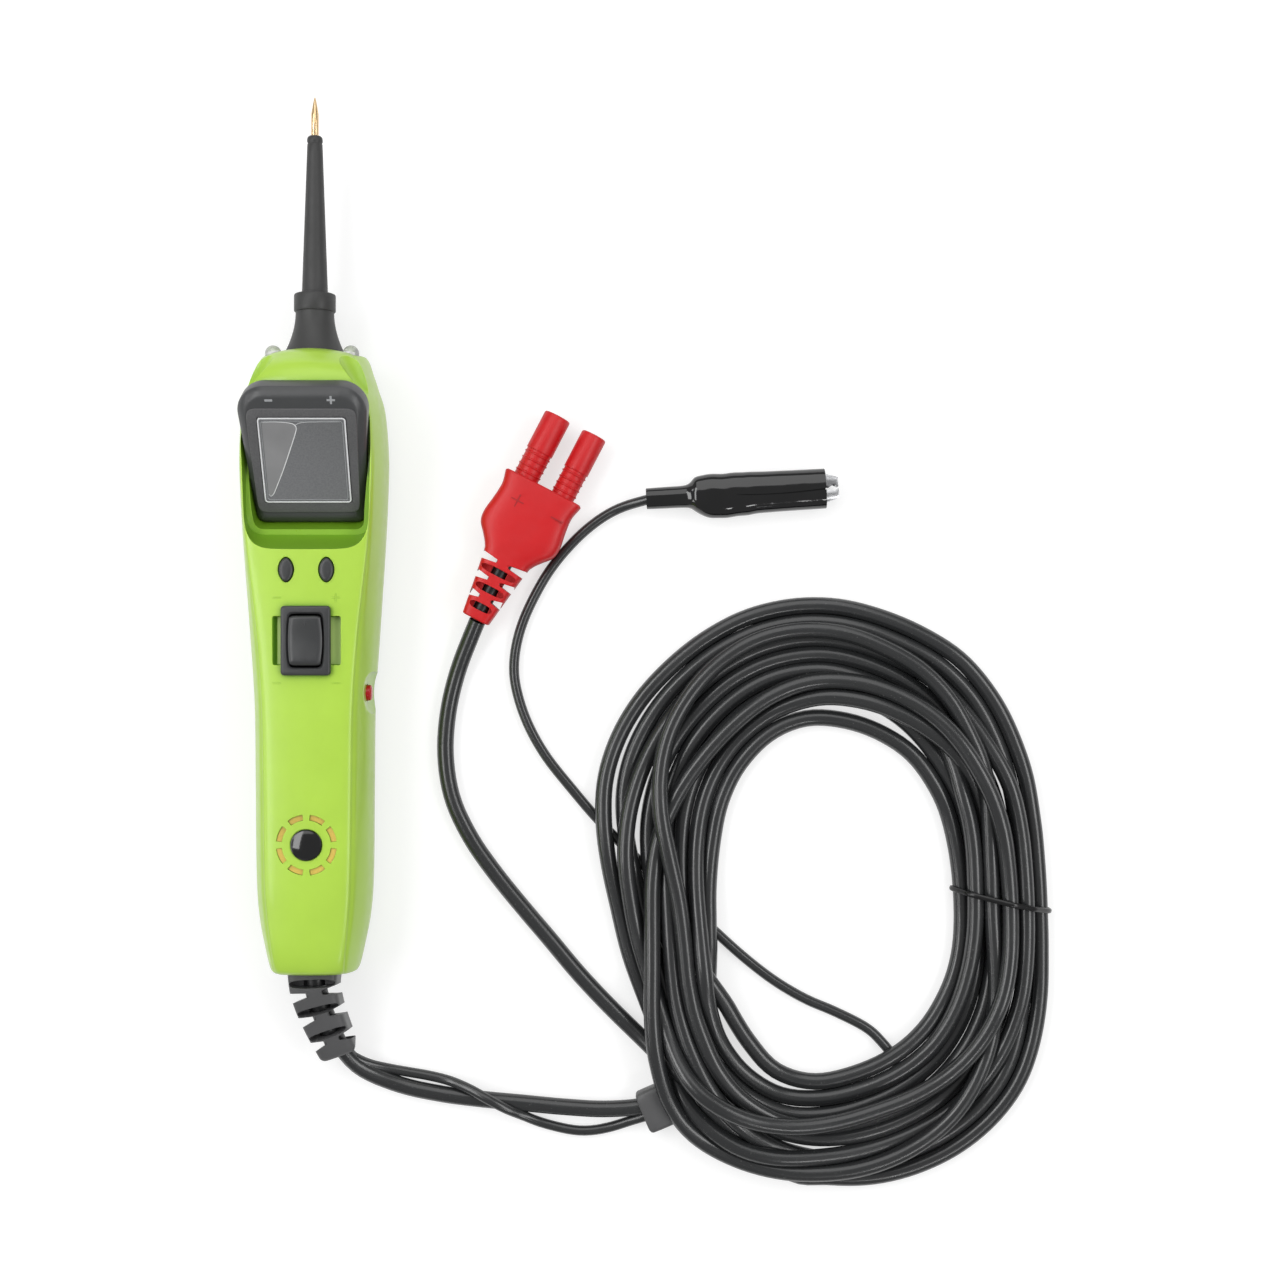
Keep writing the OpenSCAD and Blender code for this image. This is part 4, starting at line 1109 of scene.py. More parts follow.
@dataclass(frozen=True)
class Coil:
    """Coil of the power lead: turns laid in lanes between two edges and settled under their weight.

    The edges are radii from the middle at even angles, from the right side on, anticlockwise.
    """

    centre: Pair = (158.0, -112.6)
    outer: tuple[float, ...] = (67.8, 69.2, 74.1, 78.4, 83.8, 85.9, 88.6, 89.4, 87.0, 84.0, 79.0, 71.5, 65.6, 64.6,
                                67.1, 74.1, 82.6, 87.5, 89.4, 90.2, 89.6, 86.0, 78.6, 71.2)
    inner: tuple[float, ...] = (41.5, 42.2, 44.3, 49.4, 54.7, 59.2, 61.4, 58.0, 51.4, 44.7, 39.3, 36.5, 35.7, 36.6,
                                40.2, 47.0, 55.7, 61.6, 60.8, 57.0, 53.5, 48.4, 44.4, 42.3)
    lanes: tuple[tuple[float, ...], ...] = (
        (0.05, 0.00, 0.15, 0.05, 0), (0.30, 0.25, 0.35, 0.30, 0), (0.55, 0.50, 0.60, 0.62, 0),
        (0.78, 0.74, 0.86, 0.85, 0), (0.42, 0.38, 0.22, 0.20, 1), (0.12, 0.14, 0.50, 0.45, 1),
        (0.30, 0.86, 0.38, 0.92, 2), (0.56, 0.12, 0.66, 0.40, 2),
        (0.82, 0.62, 0.93, 0.66, 1), (1.00, 1.00, 1.00, 1.00, 0))
    strays: tuple[tuple[float, float, float, float], ...] = ((0.37, 84, 30, 8.0), (1.0, -120, 26, 9.5))
    lead_w: float = 5.3
    lead_h: float = 4.9
    nesting: float = 0.88
    gap: float = 3.4
    rounds: int = 300
    sink: float = 0.5
    hold: float = 0.02
    tie_hold: float = 5.0
    tie_reach: float = 38.0
    tied_at: Pair = (213.4, -114.6)

    def edge(self, radii: tuple[float, ...], angle: Array) -> Array:
        """Reads one edge of the band at given angles, as a smooth closed curve."""
        closed = smooth_line(np.array([radii[-1], *radii, radii[0], radii[1]])[:, None], 12)[12:-12, 0]
        turn = np.linspace(0, 2 * math.pi, len(closed))
        return np.interp(angle % (2 * math.pi), turn, closed)

    def lane(self, turn: Array) -> tuple[Array, Array]:
        """Gives the lane and the layer along the winding, from each turn's shares at its four sides.

        Args:
            turn: Running number of turns, from the lower left on.

        Returns:
            Share of the band's width from the inside, and height in layers.
        """
        table = np.array([[share, row[4]] for row in self.lanes for share in row[:4]])
        table = np.concatenate([table[:1], table, table[-1:]])
        at = (np.arange(len(table)) - 1) / 4 + 0.125
        smooth = smooth_line(np.concatenate([at[:, None], table], axis=1), 10)
        return np.interp(turn, smooth[:, 0], smooth[:, 1]), np.interp(turn, smooth[:, 0], smooth[:, 2])

    def wound(self, start: Array, end: Array) -> Array:
        """Lays the turns clockwise, from beside one point to beside another.

        Two strands leave the band on its inside, the first turn at the top and at the lower left.

        Args:
            start: Point where the lead joins the coil.
            end: Point where it leaves it.

        Returns:
            Points of the winding, shape (n, 3).
        """
        mid = np.array(self.centre)
        first, last = (math.atan2(*(point[:2] - mid)[::-1]) for point in (start, end))
        rest = (first - last) % (2 * math.pi)
        sweep = 2 * math.pi * len(self.lanes) + rest
        if rest > math.pi:
            sweep -= 2 * math.pi
        angle = np.linspace(first, first - sweep, 6000)
        turn = (first - angle) / (2 * math.pi)
        share, layer = self.lane(turn)
        low, high = (self.edge(radii, angle) for radii in (self.inner, self.outer))
        radius = low + self.lead_w / 2 + share * (high - low - self.lead_w)
        for middle, place, width, depth in self.strays:
            beside = (np.degrees(angle) - place + 180) % 360 - 180
            radius -= depth * np.exp(-(beside / width) ** 2) * (np.abs(turn - middle) < 0.5)
        z = self.lead_h / 2 + layer * self.lead_h * self.nesting
        return evenly(lifted(mid + radius[:, None] * compass(angle), z[:, None]), self.gap)

    def settle(self, path: Array, held: Array, low: Array, under: Array) -> Array:
        """Lets the turns sink and rest on each other.

        In each round every point sinks a little and is drawn to where it was laid, most at the tie. Strands
        nearer than one lead's width move apart square to their heading. Each point's shift from where it was
        laid is averaged with its neighbours', which keeps the strands smooth. Heights are stretched so that
        the lead's oval section counts as round.

        Args:
            path: Points of the whole lead.
            held: Mask of points that stay.
            low: Points of leads that the coil lies on.
            under: Distance that each of them needs to a strand above it.

        Returns:
            The settled points.
        """
        tall = self.lead_w / self.lead_h
        home = path * [1, 1, tall]
        low = low * [1, 1, tall]
        p = home.copy()
        free = ~held[:, None]
        apart = int(3.0 * self.lead_w / self.gap)
        floor = self.lead_h / 2 * tall + 0.05
        order = home[:, 2] + 0.001 * np.arange(len(p))
        beside_tie = np.linalg.norm(home[:, :2] - self.tied_at, axis=1, keepdims=True)
        hold = self.hold * (1 + self.tie_hold * np.exp(-(beside_tie / self.tie_reach) ** 2))
        for step in range(self.rounds):
            if step % 15 == 0:
                t = headings(p)
                pairs = self.near(p, p, 2.0 * self.lead_w, apart)
                below = self.near(p, low, 2.2 * self.lead_w, None)
            p[:, 2] -= self.sink * (1 - (step / self.rounds) ** 2)
            p[:, :2] += hold * (home - p)[:, :2]
            for _ in range(3):
                self.part(p, t, pairs, order)
            self.rise(p, low, below, under)
            shift = p - home
            even = shift.copy()
            even[1:-1] = 0.25 * shift[:-2] + 0.5 * shift[1:-1] + 0.25 * shift[2:]
            even[2:-2] = 0.5 * even[2:-2] + 0.25 * (shift[:-4] + shift[4:])
            p = home + np.where(free, even, 0.0)
            p[:, 2] = np.maximum(p[:, 2], floor)
        return p / [1, 1, tall]

    @staticmethod
    def near(p: Array, q: Array, reach: float, apart: int | None) -> tuple[Array, Array]:
        """Lists pairs of near points of two paths; on one path, only more than apart places away."""
        d = sum((p[:, None, k] - q[None, :, k]) ** 2 for k in range(3))
        hit = d < reach * reach
        return np.nonzero(hit if apart is None else np.triu(hit, apart))

    def part(self, p: Array, t: Array, pairs: tuple[Array, Array], order: Array) -> None:
        """Moves strands that are too near apart, half the lack each, the one laid later upwards.

        Args:
            p: Points of the lead, which are changed.
            t: Heading at each point.
            pairs: Places of the two points of each near pair.
            order: Value of each point that is larger where the lead was laid later.
        """
        i, j = pairs
        width = self.lead_w
        away = p[i] - p[j]
        along = (away * t[i]).sum(axis=1, keepdims=True)
        away = away - along * t[i]
        length = np.linalg.norm(away, axis=1)
        close = (length < width) & (np.abs(along[:, 0]) < 0.75 * self.gap)
        i, j, away, length = i[close], j[close], away[close], length[close]
        beside = np.hypot(away[:, 0], away[:, 1]) / width
        away[:, 2] += 0.5 * width * np.clip(1 - 1.4 * beside, 0, 1) * np.sign(order[i] - order[j])
        new_length = np.maximum(np.linalg.norm(away, axis=1), 1e-6)
        push = 0.5 * (width - length)[:, None] * away / new_length[:, None]
        count = np.bincount(np.concatenate([i, j]), minlength=len(p)).clip(1)[:, None]
        move = np.zeros_like(p)
        np.add.at(move, i, push)
        np.add.at(move, j, -push)
        p += move / count**0.7

    @staticmethod
    def rise(p: Array, low: Array, pairs: tuple[Array, Array], under: Array) -> None:
        """Lifts points of the coil off the leads below it.

        Args:
            p: Points of the coil, which are changed.
            low: Points of the leads below it.
            pairs: Places of the two points of each near pair.
            under: Distance that each low point needs to a strand above it.
        """
        i, j = pairs
        away = p[i] - low[j]
        flat = (away[:, :2] ** 2).sum(axis=1)
        over = flat < under[j] ** 2
        i, j, away, flat = i[over], j[over], away[over], flat[over]
        lift = np.zeros(len(p))
        np.maximum.at(lift, i, np.sqrt(under[j] ** 2 - flat) - away[:, 2])
        p[:, 2] += np.clip(lift, 0, 0.6)


@dataclass
class Leads:
    """Power lead with its coil, ground lead, collar and tie."""

    route: Route = Route()
    coil: Coil = Coil()
    ground_d: float = 3.2
    power_step: float = 2.6
    ground_step: float = 1.8
    skip: int = 9
    collar_at: Place = (106.0, -180.2, 3.7)
    collar_deg: float = 23.0
    collar_half: Place = (4.8, 6.8, 3.5)
    tie_deg: float = -13.0
    tie_d: float = 1.7

    def power_path(self, thin: Array) -> Array:
        """Runs the power lead from the tester to the plug.

        Args:
            thin: Points of the ground lead, which runs below the coil.

        Returns:
            Points in millimetres at an even distance.
        """
        coil = self.coil
        out = evenly(smooth_line(np.array(self.route.power_out), 6), coil.gap)
        home = evenly(smooth_line(np.array(self.route.power_home)[::-1], 6), coil.gap)[::-1]
        wound = coil.wound(out[-1], home[0])[self.skip:-self.skip]
        path = evenly(smooth_line(np.concatenate([out[::4], wound[::4], home[::4], home[-1:]]), 4), coil.gap)
        held = np.zeros(len(path), bool)
        held[:len(out)] = True
        held[-len(home):] = True
        low = np.concatenate([thin, path[:len(out) + 6], path[-len(home) - 4:]])
        under = np.full(len(low), coil.lead_w)
        under[:len(thin)] = (coil.lead_w + self.ground_d) / 2
        path = coil.settle(path, held, low, under)
        return evenly(smooth_line(path, 3), self.power_step)

    def lead(self, name: str, path: Array, width: float, height: float, sides: int) -> Solid:
        """Sweeps an oval along a path, with a map of length and girth.

        Args:
            name: Name of the piece.
            path: Points in millimetres.
            width: Width of the section.
            height: Height of the section.
            sides: Points round the section.

        Returns:
            The lead.
        """
        obj = skinned(name, stand(path, ellipse(width / 2, height / 2, sides)))
        mesh = obj.data
        along = distances(path) * MM
        corner = np.empty(len(mesh.loops), np.int32)
        mesh.loops.foreach_get("vertex_index", corner)
        uv = np.stack([along[corner // sides], (corner % sides) / sides], axis=1)
        mesh.uv_layers.new(name="length_girth").data.foreach_set("uv", uv.ravel().astype(np.float32))
        return obj

    def collar(self) -> Solid:
        """Moulds the collar where the two leads part: a soft box that narrows at both ends.

        Returns:
            The collar.
        """
        half_l, half_w, half_h = self.collar_half
        x = np.array([-1.0, -0.93, -0.8, -0.3, 0.3, 0.8, 0.93, 1.0]) * half_l
        grow = np.array([0.84, 0.94, 0.99, 1.0, 1.0, 0.99, 0.94, 0.84])
        turn = math.radians(self.collar_deg)
        axis = np.array([math.cos(turn), math.sin(turn), 0.0])
        path = np.array(self.collar_at) + x[:, None] * axis
        section = soft_box(half_w, half_h, 5.0, 40)
        obj = skinned("lead_collar_moulding", stand(path, section * grow[:, None, None]))
        return fit(obj, BOOT_RUBBER, ("lead_collar",))

    def tie(self, path: Array) -> Solid:
        """Closes the tie round the turns: a flat wire along the lines that touch the strands from outside.

        Args:
            path: Points of the power lead.

        Returns:
            The tie.
        """
        turn = math.radians(self.tie_deg)
        side = np.array([math.cos(turn), math.sin(turn), 0.0])
        across = np.array([-math.sin(turn), math.cos(turn), 0.0])
        from_tie = path[:, :2] - self.coil.tied_at
        on = (np.abs(from_tie @ across[:2]) < 2.5) & (np.abs(from_tie @ side[:2]) < 28)
        strands = np.stack([from_tie[on] @ side[:2], path[on, 2]], axis=1)
        middle = (strands.max(axis=0) + strands.min(axis=0)) / 2
        half_w, half_h = self.tie_d / 2, self.tie_d * 0.36
        facing = compass(around(360))
        support = ((strands - middle) @ facing.T).max(axis=0) + self.coil.lead_w / 2 + self.tie_d * 0.3
        loop = middle + met(facing[::5], facing, support)
        loop[:, 1] = np.maximum(loop[:, 1], half_h)
        line = np.array([*self.coil.tied_at, 0.0]) + loop[:, :1] * side + loop[:, 1:] * UP
        out = np.cross(ring_headings(line), across)
        rings = swept(line, ellipse(half_w, half_h, 10), across[None], out)
        rings = np.concatenate([rings, rings[:1]])
        return fit(skinned("coil_tie_wire", rings, Ends.OPEN), TIE, ("coil_tie",))

    def build(self, on_power: list[Solid], on_ground: list[Solid]) -> None:
        """Args:
            on_power: Pieces of the plug; not used.
            on_ground: Pieces of the clip; not used.
        """
        thin = evenly(smooth_line(np.array(self.route.ground), 8), self.ground_step)
        path = self.power_path(thin)
        coil = self.coil
        power = self.lead("power_cord", path, coil.lead_w, coil.lead_h, 14)
        fit(power, LEAD_JACKET, ("power_lead", "power_coil", "power_lead_end"))
        collar, tie = self.collar(), self.tie(path)
        round(self.length(path), 3)
        ground = self.lead("ground_cord", thin, self.ground_d, self.ground_d, 12)
        fit(ground, LEAD_JACKET, ("ground_lead",))
        round(self.length(thin), 3)
        LOG.info("power lead %.2f m, ground lead %.2f m, coil top %.1f mm", self.length(path),
                 self.length(thin), path[:, 2].max() + coil.lead_h / 2)

    @staticmethod
    def length(path: Array) -> float:
        """Length of a path in metres."""
        return float(distances(path)[-1] * MM)


# Housing

class Half(Enum):
    """The two shells of the housing."""

    FRONT = "front"
    REAR = "rear"


@dataclass
class Housing:
    """Two moulded shells that meet at the seam, with the openings of everything they carry."""

    lay: Layout = LAYOUT
    along_steps: int = 8
    round_steps: int = 6
    nozzle_r: float = 9.35
    lamp_r: float = 2.65
    boot_w: float = 16.7
    boot_h: float = 13.9
    disc_r: float = 10.6
    slot_w: float = 1.75
    slot_count: int = 8
    slot_gap_deg: float = 14.0
    reset_r: float = 2.7
    scoop: Place = (2.2, 6.6, 20.0)
    neck_bow: float = 1.5
    ledge: Pair = (2.1, -2.4)
    pocket_wall: float = 1.6

    def half_section(self, rows: Array, which: Half) -> Array:
        """Control points of the right half of each section, from the seam to the middle.

        Args:
            rows: Stations, shape (m, 6).
            which: The shell.

        Returns:
            Control points, shape (m, k, 2).
        """
        half, ridge, ridge_z, crown, rear = rows[:, 1:].T
        seam = self.lay.seam_z
        if which is Half.FRONT:
            pairs = [(half, seam), (mix(half, ridge, 0.18), mix(seam, ridge_z, 0.4)),
                     (mix(half, ridge, 0.62), mix(seam, ridge_z, 0.82)),
                     (mix(half, ridge, 0.88), ridge_z - 0.8), (ridge, ridge_z),
                     (ridge * 0.84, mix(ridge_z, crown, 0.5)), (ridge * 0.45, mix(ridge_z, crown, 0.88)),
                     (0.0, crown)]
        else:
            pairs = [(half, seam), (half - 0.2, seam * 0.62), (half - 1.4, rear + 3.2),
                     (half - 3.4, rear + 0.9), (half - 6, rear), (half * 0.3, rear), (0.0, rear)]
        return np.stack([np.stack(np.broadcast_arrays(*pair), axis=1) for pair in pairs], axis=1)

    def sections(self, which: Half, wall: float) -> Array:
        """Rings of one shell, seam to seam over the top or round the rear.

        The inner skin is the outer one drawn in towards the seam by the wall at the side and at the top.

        Args:
            which: The shell.
            wall: How far the skin is drawn in; nought for the outer skin.

        Returns:
            Points, shape (m, n, 3), with both seam ends in each ring.
        """
        lay = self.lay
        rows = smooth_line(lay.stations(), self.along_steps)
        control = self.half_section(rows, which)
        half = np.swapaxes(smooth_line(np.swapaxes(control, 0, 1), self.round_steps), 0, 1)
        ring = np.concatenate([half, half[:, -2::-1] * [-1, 1]], axis=1)
        tall = np.abs((rows[:, 4] if which is Half.FRONT else rows[:, 5]) - lay.seam_z)
        x = ring[..., 0] * ((rows[:, 1] - wall) / rows[:, 1])[:, None]
        y = lay.neck_y - wall + (rows[:, 0] - lay.neck_y) * (lay.case_l - 2 * wall) / lay.case_l
        z = lay.seam_z + (ring[..., 1] - lay.seam_z) * ((tall - wall) / tall)[:, None]
        near = np.clip(1 - (lay.neck_y - y) / 9.0, 0, 1)[:, None] ** 2
        back = self.neck_bow * near * np.clip(np.abs(x) / 13.0, 0, 1) ** 2
        return np.stack([x, y[:, None] - back, z], axis=2)

    def solid(self, name: str, which: Half, wall: float) -> Solid:
        """Fills one skin down to the seam, and past it where the wall is drawn in.

        Args:
            name: Name of the solid.
            which: The shell.
            wall: How far the skin is drawn in.

        Returns:
            The solid.
        """
        rings = self.sections(which, wall)
        if wall:
            seam = rings[:, [0, -1]] + [0, 0, -3.0 if which is Half.FRONT else 3.0]
            rings = np.concatenate([seam[:, :1], rings, seam[:, 1:]], axis=1)
        return skinned(name, rings)

    def shell(self, which: Half, kept: list[Solid]) -> Solid:
        """Hollows one skin into a shell with an open seam side.

        Args:
            which: The shell.
            kept: Solids that stay filled inside it, which are used up.

        Returns:
            The shell.
        """
        name = f"{which.value}_shell"
        shell = self.solid(name, which, 0.0)
        space = self.solid(f"{name}_space", which, self.lay.wall)
        carve(space, kept)
        carve(shell, [space])
        return shell

    def openings(self, which: Half) -> list[Solid]:
        """Cutters for the nozzle, the lamps, the boot and the dish of the reset button.

        Args:
            which: The shell that they cut.

        Returns:
            The cutters.
        """
        lay, tag = self.lay, which.value
        at = np.array([lay.grip_w / 2 + 0.3, lay.reset_y, lay.seam_z + 1])
        low, high = (lay.seam_z + side * self.boot_h / 2 for side in (-1, 1))
        boot = standing(f"boot_{tag}", rounded(self.boot_w / 2, 4, 0.4, 3), low, high)
        nozzle = lying([[self.nozzle_r, -4], [self.nozzle_r, 4]], 64) + [0, lay.neck_y, lay.seam_z]
        lamp = lying([[self.lamp_r, -7], [self.lamp_r, 2]], 40) + [0, lay.neck_y, lay.lamp_z]
        return [skinned(f"nozzle_{tag}", nozzle),
                *(skinned(f"lamp_{side}_{tag}", lamp + [side * lay.lamp_x, 0, 0]) for side in (-1, 1)),
                moved(boot, [0, lay.tail_y, 0]),
                skinned(f"scoop_{tag}", ball(40, 64) * self.scoop + at),
                skinned(f"reset_{tag}", sideways([[self.reset_r, -8.4], [self.reset_r, 2.0]], 48) + at)]

    def pad(self, which: Half) -> Solid:
        """Solid part of the wall behind the scoop.

        Args:
            which: The shell that it belongs to.

        Returns:
            The solid.
        """
        lay, tag = self.lay, which.value
        shape = ellipse(self.scoop[1] + 0.8, self.scoop[2] - 2, 40)
        inner, outer = lay.grip_w / 2 - self.scoop[0] - 2.8, lay.grip_w / 2 + 2
        rings = np.stack([lifted(shape, x)[:, [2, 0, 1]] for x in (inner, outer)])
        pad = skinned(f"pad_{tag}", rings + [0, lay.reset_y, lay.seam_z + 1])
        low, high = (-4.0, lay.seam_z) if which is Half.FRONT else (lay.seam_z, 40.0)
        carve(pad, [block(f"pad_side_{tag}", [0, lay.reset_y - 20, low], [30, lay.reset_y + 20, high])])
        return pad

    def pocket_rings(self, grow: float) -> Array:
        """Rings of the pocket that the display sits in, from its sloping floor up to the open top.

        Both outlines are read at the same angles, so that each wall line runs straight between them.

        Args:
            grow: How far the pocket is grown outwards.

        Returns:
            Rings, shape (m, n, 3).
        """
        lay, display = self.lay, Display()
        angle = around(160)
        depth, (ledge_w, ledge_out) = display.depth, self.ledge
        low = display.outline(0.3 + grow, angle)
        share = np.clip(-1.6 * np.sin(angle) - 0.1, 0.05, 1)[:, None]
        out = (depth - ledge_out) * share - depth - grow
        step = low + (display.outline(ledge_w + grow, angle) - low) * share
        floor, foot, strip = (display.stood(lifted(line, v)) for line, v in
                              ((low, -depth - 0.1 - grow), (low, out), (step, out)))
        half_low, half = 17.7 + grow, 19.3 + grow
        front_y, back_y = lay.button_y + 2 - grow, lay.neck_y - 9.4 + grow
        corners = mirrored(np.array([
            [half_low, front_y], [half_low + 0.8, front_y + 9], [half + 1.6, lay.display_y],
            [half + 0.8, lay.display_y + 17], [half - 4, back_y]]))
        middle = np.array([0.0, lay.display_y])
        top = middle + self.across(corners - middle, angle, 2.4)
        wall = rings_between(strip, lifted(top, lay.face_z + 6.4), [0.0, 0.35, 0.7, 1.0])
        return np.concatenate([[floor, foot], wall, [lifted(top, lay.face_z + 9.0)]])

    @staticmethod
    def across(corners: Array, angle: Array, soft: float) -> Array:
        """Reads a convex outline at the given angles and rounds its corners by averaging neighbours.

        Args:
            corners: Corners of the outline round the origin, anticlockwise.
            angle: Angles to read.
            soft: Width of the rounding in points.

        Returns:
            Points, shape (n, 2).
        """
        normal = (np.roll(corners, -1, axis=0) - corners)[:, ::-1] * [1, -1]
        points = met(compass(angle), normal, (normal * corners).sum(axis=1))
        reach = 3 * int(round(soft))
        shifts = range(-reach, reach + 1)
        weights = np.exp(-0.5 * (np.array(shifts) / soft) ** 2)
        return sum(w * np.roll(points, s, axis=0) for s, w in zip(shifts, weights)) / weights.sum()

    def front(self) -> None:
        """Builds the front shell with its pocket, its recess and the holes of the buttons and slots."""
        lay = self.lay
        tub = skinned("tub", self.pocket_rings(self.pocket_wall))
        back, front = lay.display_y - 60, lay.display_y + 60
        carve(tub, [block("tub_low", [-40, back, -1], [40, front, lay.seam_z + 0.4])])
        floor = standing("recess_floor", rounded(11.6, 8.4, 1.0, 4), lay.face_z - 4.2, lay.face_z + 1)
        moved(floor, [0, lay.rocker_y, 0])
        shell = self.shell(Half.FRONT, [tub, self.pad(Half.FRONT), floor, *self.shoulders(self.pocket_wall)])
        carve(shell, [self.sounder_seat()], Cut.JOIN)
        pocket = skinned("pocket", self.pocket_rings(0.0))
        mesh = pocket.data
        wall = BVHTree.FromPolygons([v.co for v in mesh.vertices], [p.vertices for p in mesh.polygons])
        switch = standing("switch_hole", rounded(6.6, 9.8, 0.4, 3), lay.face_z - 6, lay.face_z + 6)
        buttons = [self.button_hole(side) for side in (-1, 1)]
        slots = [self.arc_slot(k) for k in range(self.slot_count)]
        carve(shell, [pocket, *buttons, moved(switch, [0, lay.rocker_y, 0]), self.recess(),
                      *self.shoulders(0.0), *slots, self.badge_seat()])
        carve(shell, self.openings(Half.FRONT))
        fit(shell, GREEN, ("front_case",))
        self.paint_pocket_shading(shell, wall)
        # Painted light: paler, duller green strips on the recess floor either side of the switch frame, where the
        # floor is lit.
        low, high = lay.face_z - 2.3, lay.face_z - 2.1
        for word, x0, x1 in (("left", -9.0, -6.65), ("right", 6.65, 10.2)):
            floor = block(f"recess_{word}", [x0, lay.rocker_y - 7.1, low], [x1, lay.rocker_y + 7.1, high])
            fit(floor, GREEN_RECESS_PAINTED_LIGHT)

    @staticmethod
    def paint_pocket_shading(shell: Solid, wall: BVHTree) -> None:
        """Paints shade and light into the pocket: the faces along its wall get a deeper green as painted shade, the
        level ones a pale one as painted light.

        Args:
            shell: The front shell.
            wall: The pocket's own surface.
        """
        dress(shell, GREEN_POCKET_PAINTED_SHADE, keep_first=True)
        dress(shell, GREEN_LEDGE_PAINTED_LIGHT, keep_first=True)
        # Painted shade on the wall faces, painted light on the ones that face up.
        for face in shell.data.polygons:
            place, normal, _, _ = wall.find_nearest(face.center, 0.6 * MM)
            if place is not None and face.normal.dot(normal) < -0.85:
                face.material_index = 2 if face.normal.z > 0.88 else 1

    def recess(self) -> Solid:
        """Cutter for the shallow recess round the rocker switch, narrower at its floor."""
        shape = rounded(10.4, 7.45, 0.7, 5)
        low = shape * [0.94, 0.98] + [0.6, 0]
        rings = [lifted(line, self.lay.face_z + z) for line, z in ((low, -2.2), (shape, -0.1), (shape, 3.0))]
        return skinned("switch_recess", np.stack(rings) + [0, self.lay.rocker_y, 0])

    def shoulders(self, grow: float) -> list[Solid]:
        """Long round cutters that lower the two shoulders beside the dome in front of the display."""
        half = np.array([5.2, 13.0, 6.0]) + grow
        right = placed(ball(24, 40) * half, (15.2, self.lay.neck_y - 3.5, self.lay.face_z + 1.6), 24)
        left = right[:, ::-1] * [-1, 1, 1]
        return [skinned(f"shoulder_{k}_{grow:.0f}", rings) for k, rings in enumerate((left, right))]

    @property
    def slot_radii(self) -> Pair:
        """Outer and inner radius of the ring of sound slots."""
        outer = self.lay.slot_ring_d / 2
        return outer, outer - self.slot_w

    def sounder_seat(self) -> Solid:
        """Ring under the face that the brass disc lies against."""
        inner, outer = self.slot_radii[0] + 0.2, self.disc_r
        low, high = self.lay.face_z - 3.1, self.lay.face_z - 1
        rings = turned([[outer, low], [outer, high], [inner, high], [inner, low], [outer, low]], 72)
        return skinned("sounder_seat", rings + [0, self.lay.sounder_y, 0], Ends.OPEN)

    def button_hole(self, side: int) -> Solid:
        """Cutter for the hole of one oval button, with a slight lead-in at the top.

        Args:
            side: -1 for the left button, 1 for the right one.

        Returns:
            The cutter.
        """
        shape = soft_box(1.0, 1.0, 1.8, 48)
        rings = [lifted(shape * [2.2 + grow, 3.6 + grow], self.lay.face_z + z)
                 for grow, z in ((0.2, -6), (0.2, -0.1), (0.45, 0.3), (0.45, 2))]
        at = [side * self.lay.button_x, self.lay.button_y, 0]
        return skinned(f"button_hole_{side}", np.stack(rings) + at)

    def arc_slot(self, k: int) -> Solid:
        """Lays the brass bar that shows in one sound slot and gives the slot's cutter, bent round the badge.

        Args:
            k: Number of the slot.

        Returns:
            The cutter.
        """
        z, there = self.lay.face_z, [0, self.lay.sounder_y, 0]
        span = math.radians(360 / self.slot_count - self.slot_gap_deg)
        middle = math.radians((k + 0.5) * 360 / self.slot_count)
        turn = np.linspace(-span / 2, span / 2, 14) + middle
        near = turn.mean() + (turn - turn.mean()) * 0.985
        bar = standing(f"sound_bar_{k}", self.bent(near, 0.06), z - 3.1, z - 0.75)
        fit(moved(bar, there), SLOT_BRASS)
        return moved(standing(f"slot_{k}", self.bent(turn, 0.0), z - 5, z + 3), there)

    def bent(self, turn: Array, room: float) -> Array:
        """Outline of a sound slot over some angles, narrower by a room on each side."""
        outer, inner = self.slot_radii
        return np.concatenate([(outer - room) * compass(turn), (inner + room) * compass(turn[::-1])])

    def badge_seat(self) -> Solid:
        """Cutter for the shallow seat of the badge."""
        seat = standing("badge_seat", ellipse(4.85, 4.85, 64), self.lay.face_z - 0.7, self.lay.face_z + 3)
        return moved(seat, [0, self.lay.sounder_y, 0])

    def marks(self) -> None:
        """Raises faint plus and minus marks on the face at the corners of the rocker."""
        lay, bar, post = self.lay, (2.5, 0.26), (0.26, 2.5)
        for word, x, y, bars in (("up_left", -8.9, 13.0, [bar]), ("up_right", 8.9, 13.0, [bar, post]),
                                 ("low_left", -9.0, -12.8, [bar]), ("low_right", 9.0, -12.8, [bar])):
            at, heights = [x, lay.rocker_y + y, 0], (lay.face_z - 1.4, lay.face_z - 0.5)
            obj = mark(f"mark_{word}", bars, (0.1, 3), heights, lambda points: points + at)
            self.drape(obj)
            fit(obj, GREEN)

    def drape(self, obj: Solid) -> None:
        """Moves the upper points of a mark to just over the skin, and the lower ones to just under it.

        Args:
            obj: The mark.
        """
        rings = self.sections(Half.FRONT, 0.0).reshape(-1, 3)
        middle = (obj.data.vertices[0].co.z + obj.data.vertices[-1].co.z) / 2
        for v in obj.data.vertices:
            at = np.array(v.co) / MM
            near = np.argsort(((rings[:, :2] - at[:2]) ** 2).sum(axis=1))[:4]
            skin = rings[near, 2].mean()
            v.co.z = (skin + (0.12 if v.co.z > middle else -0.3)) * MM

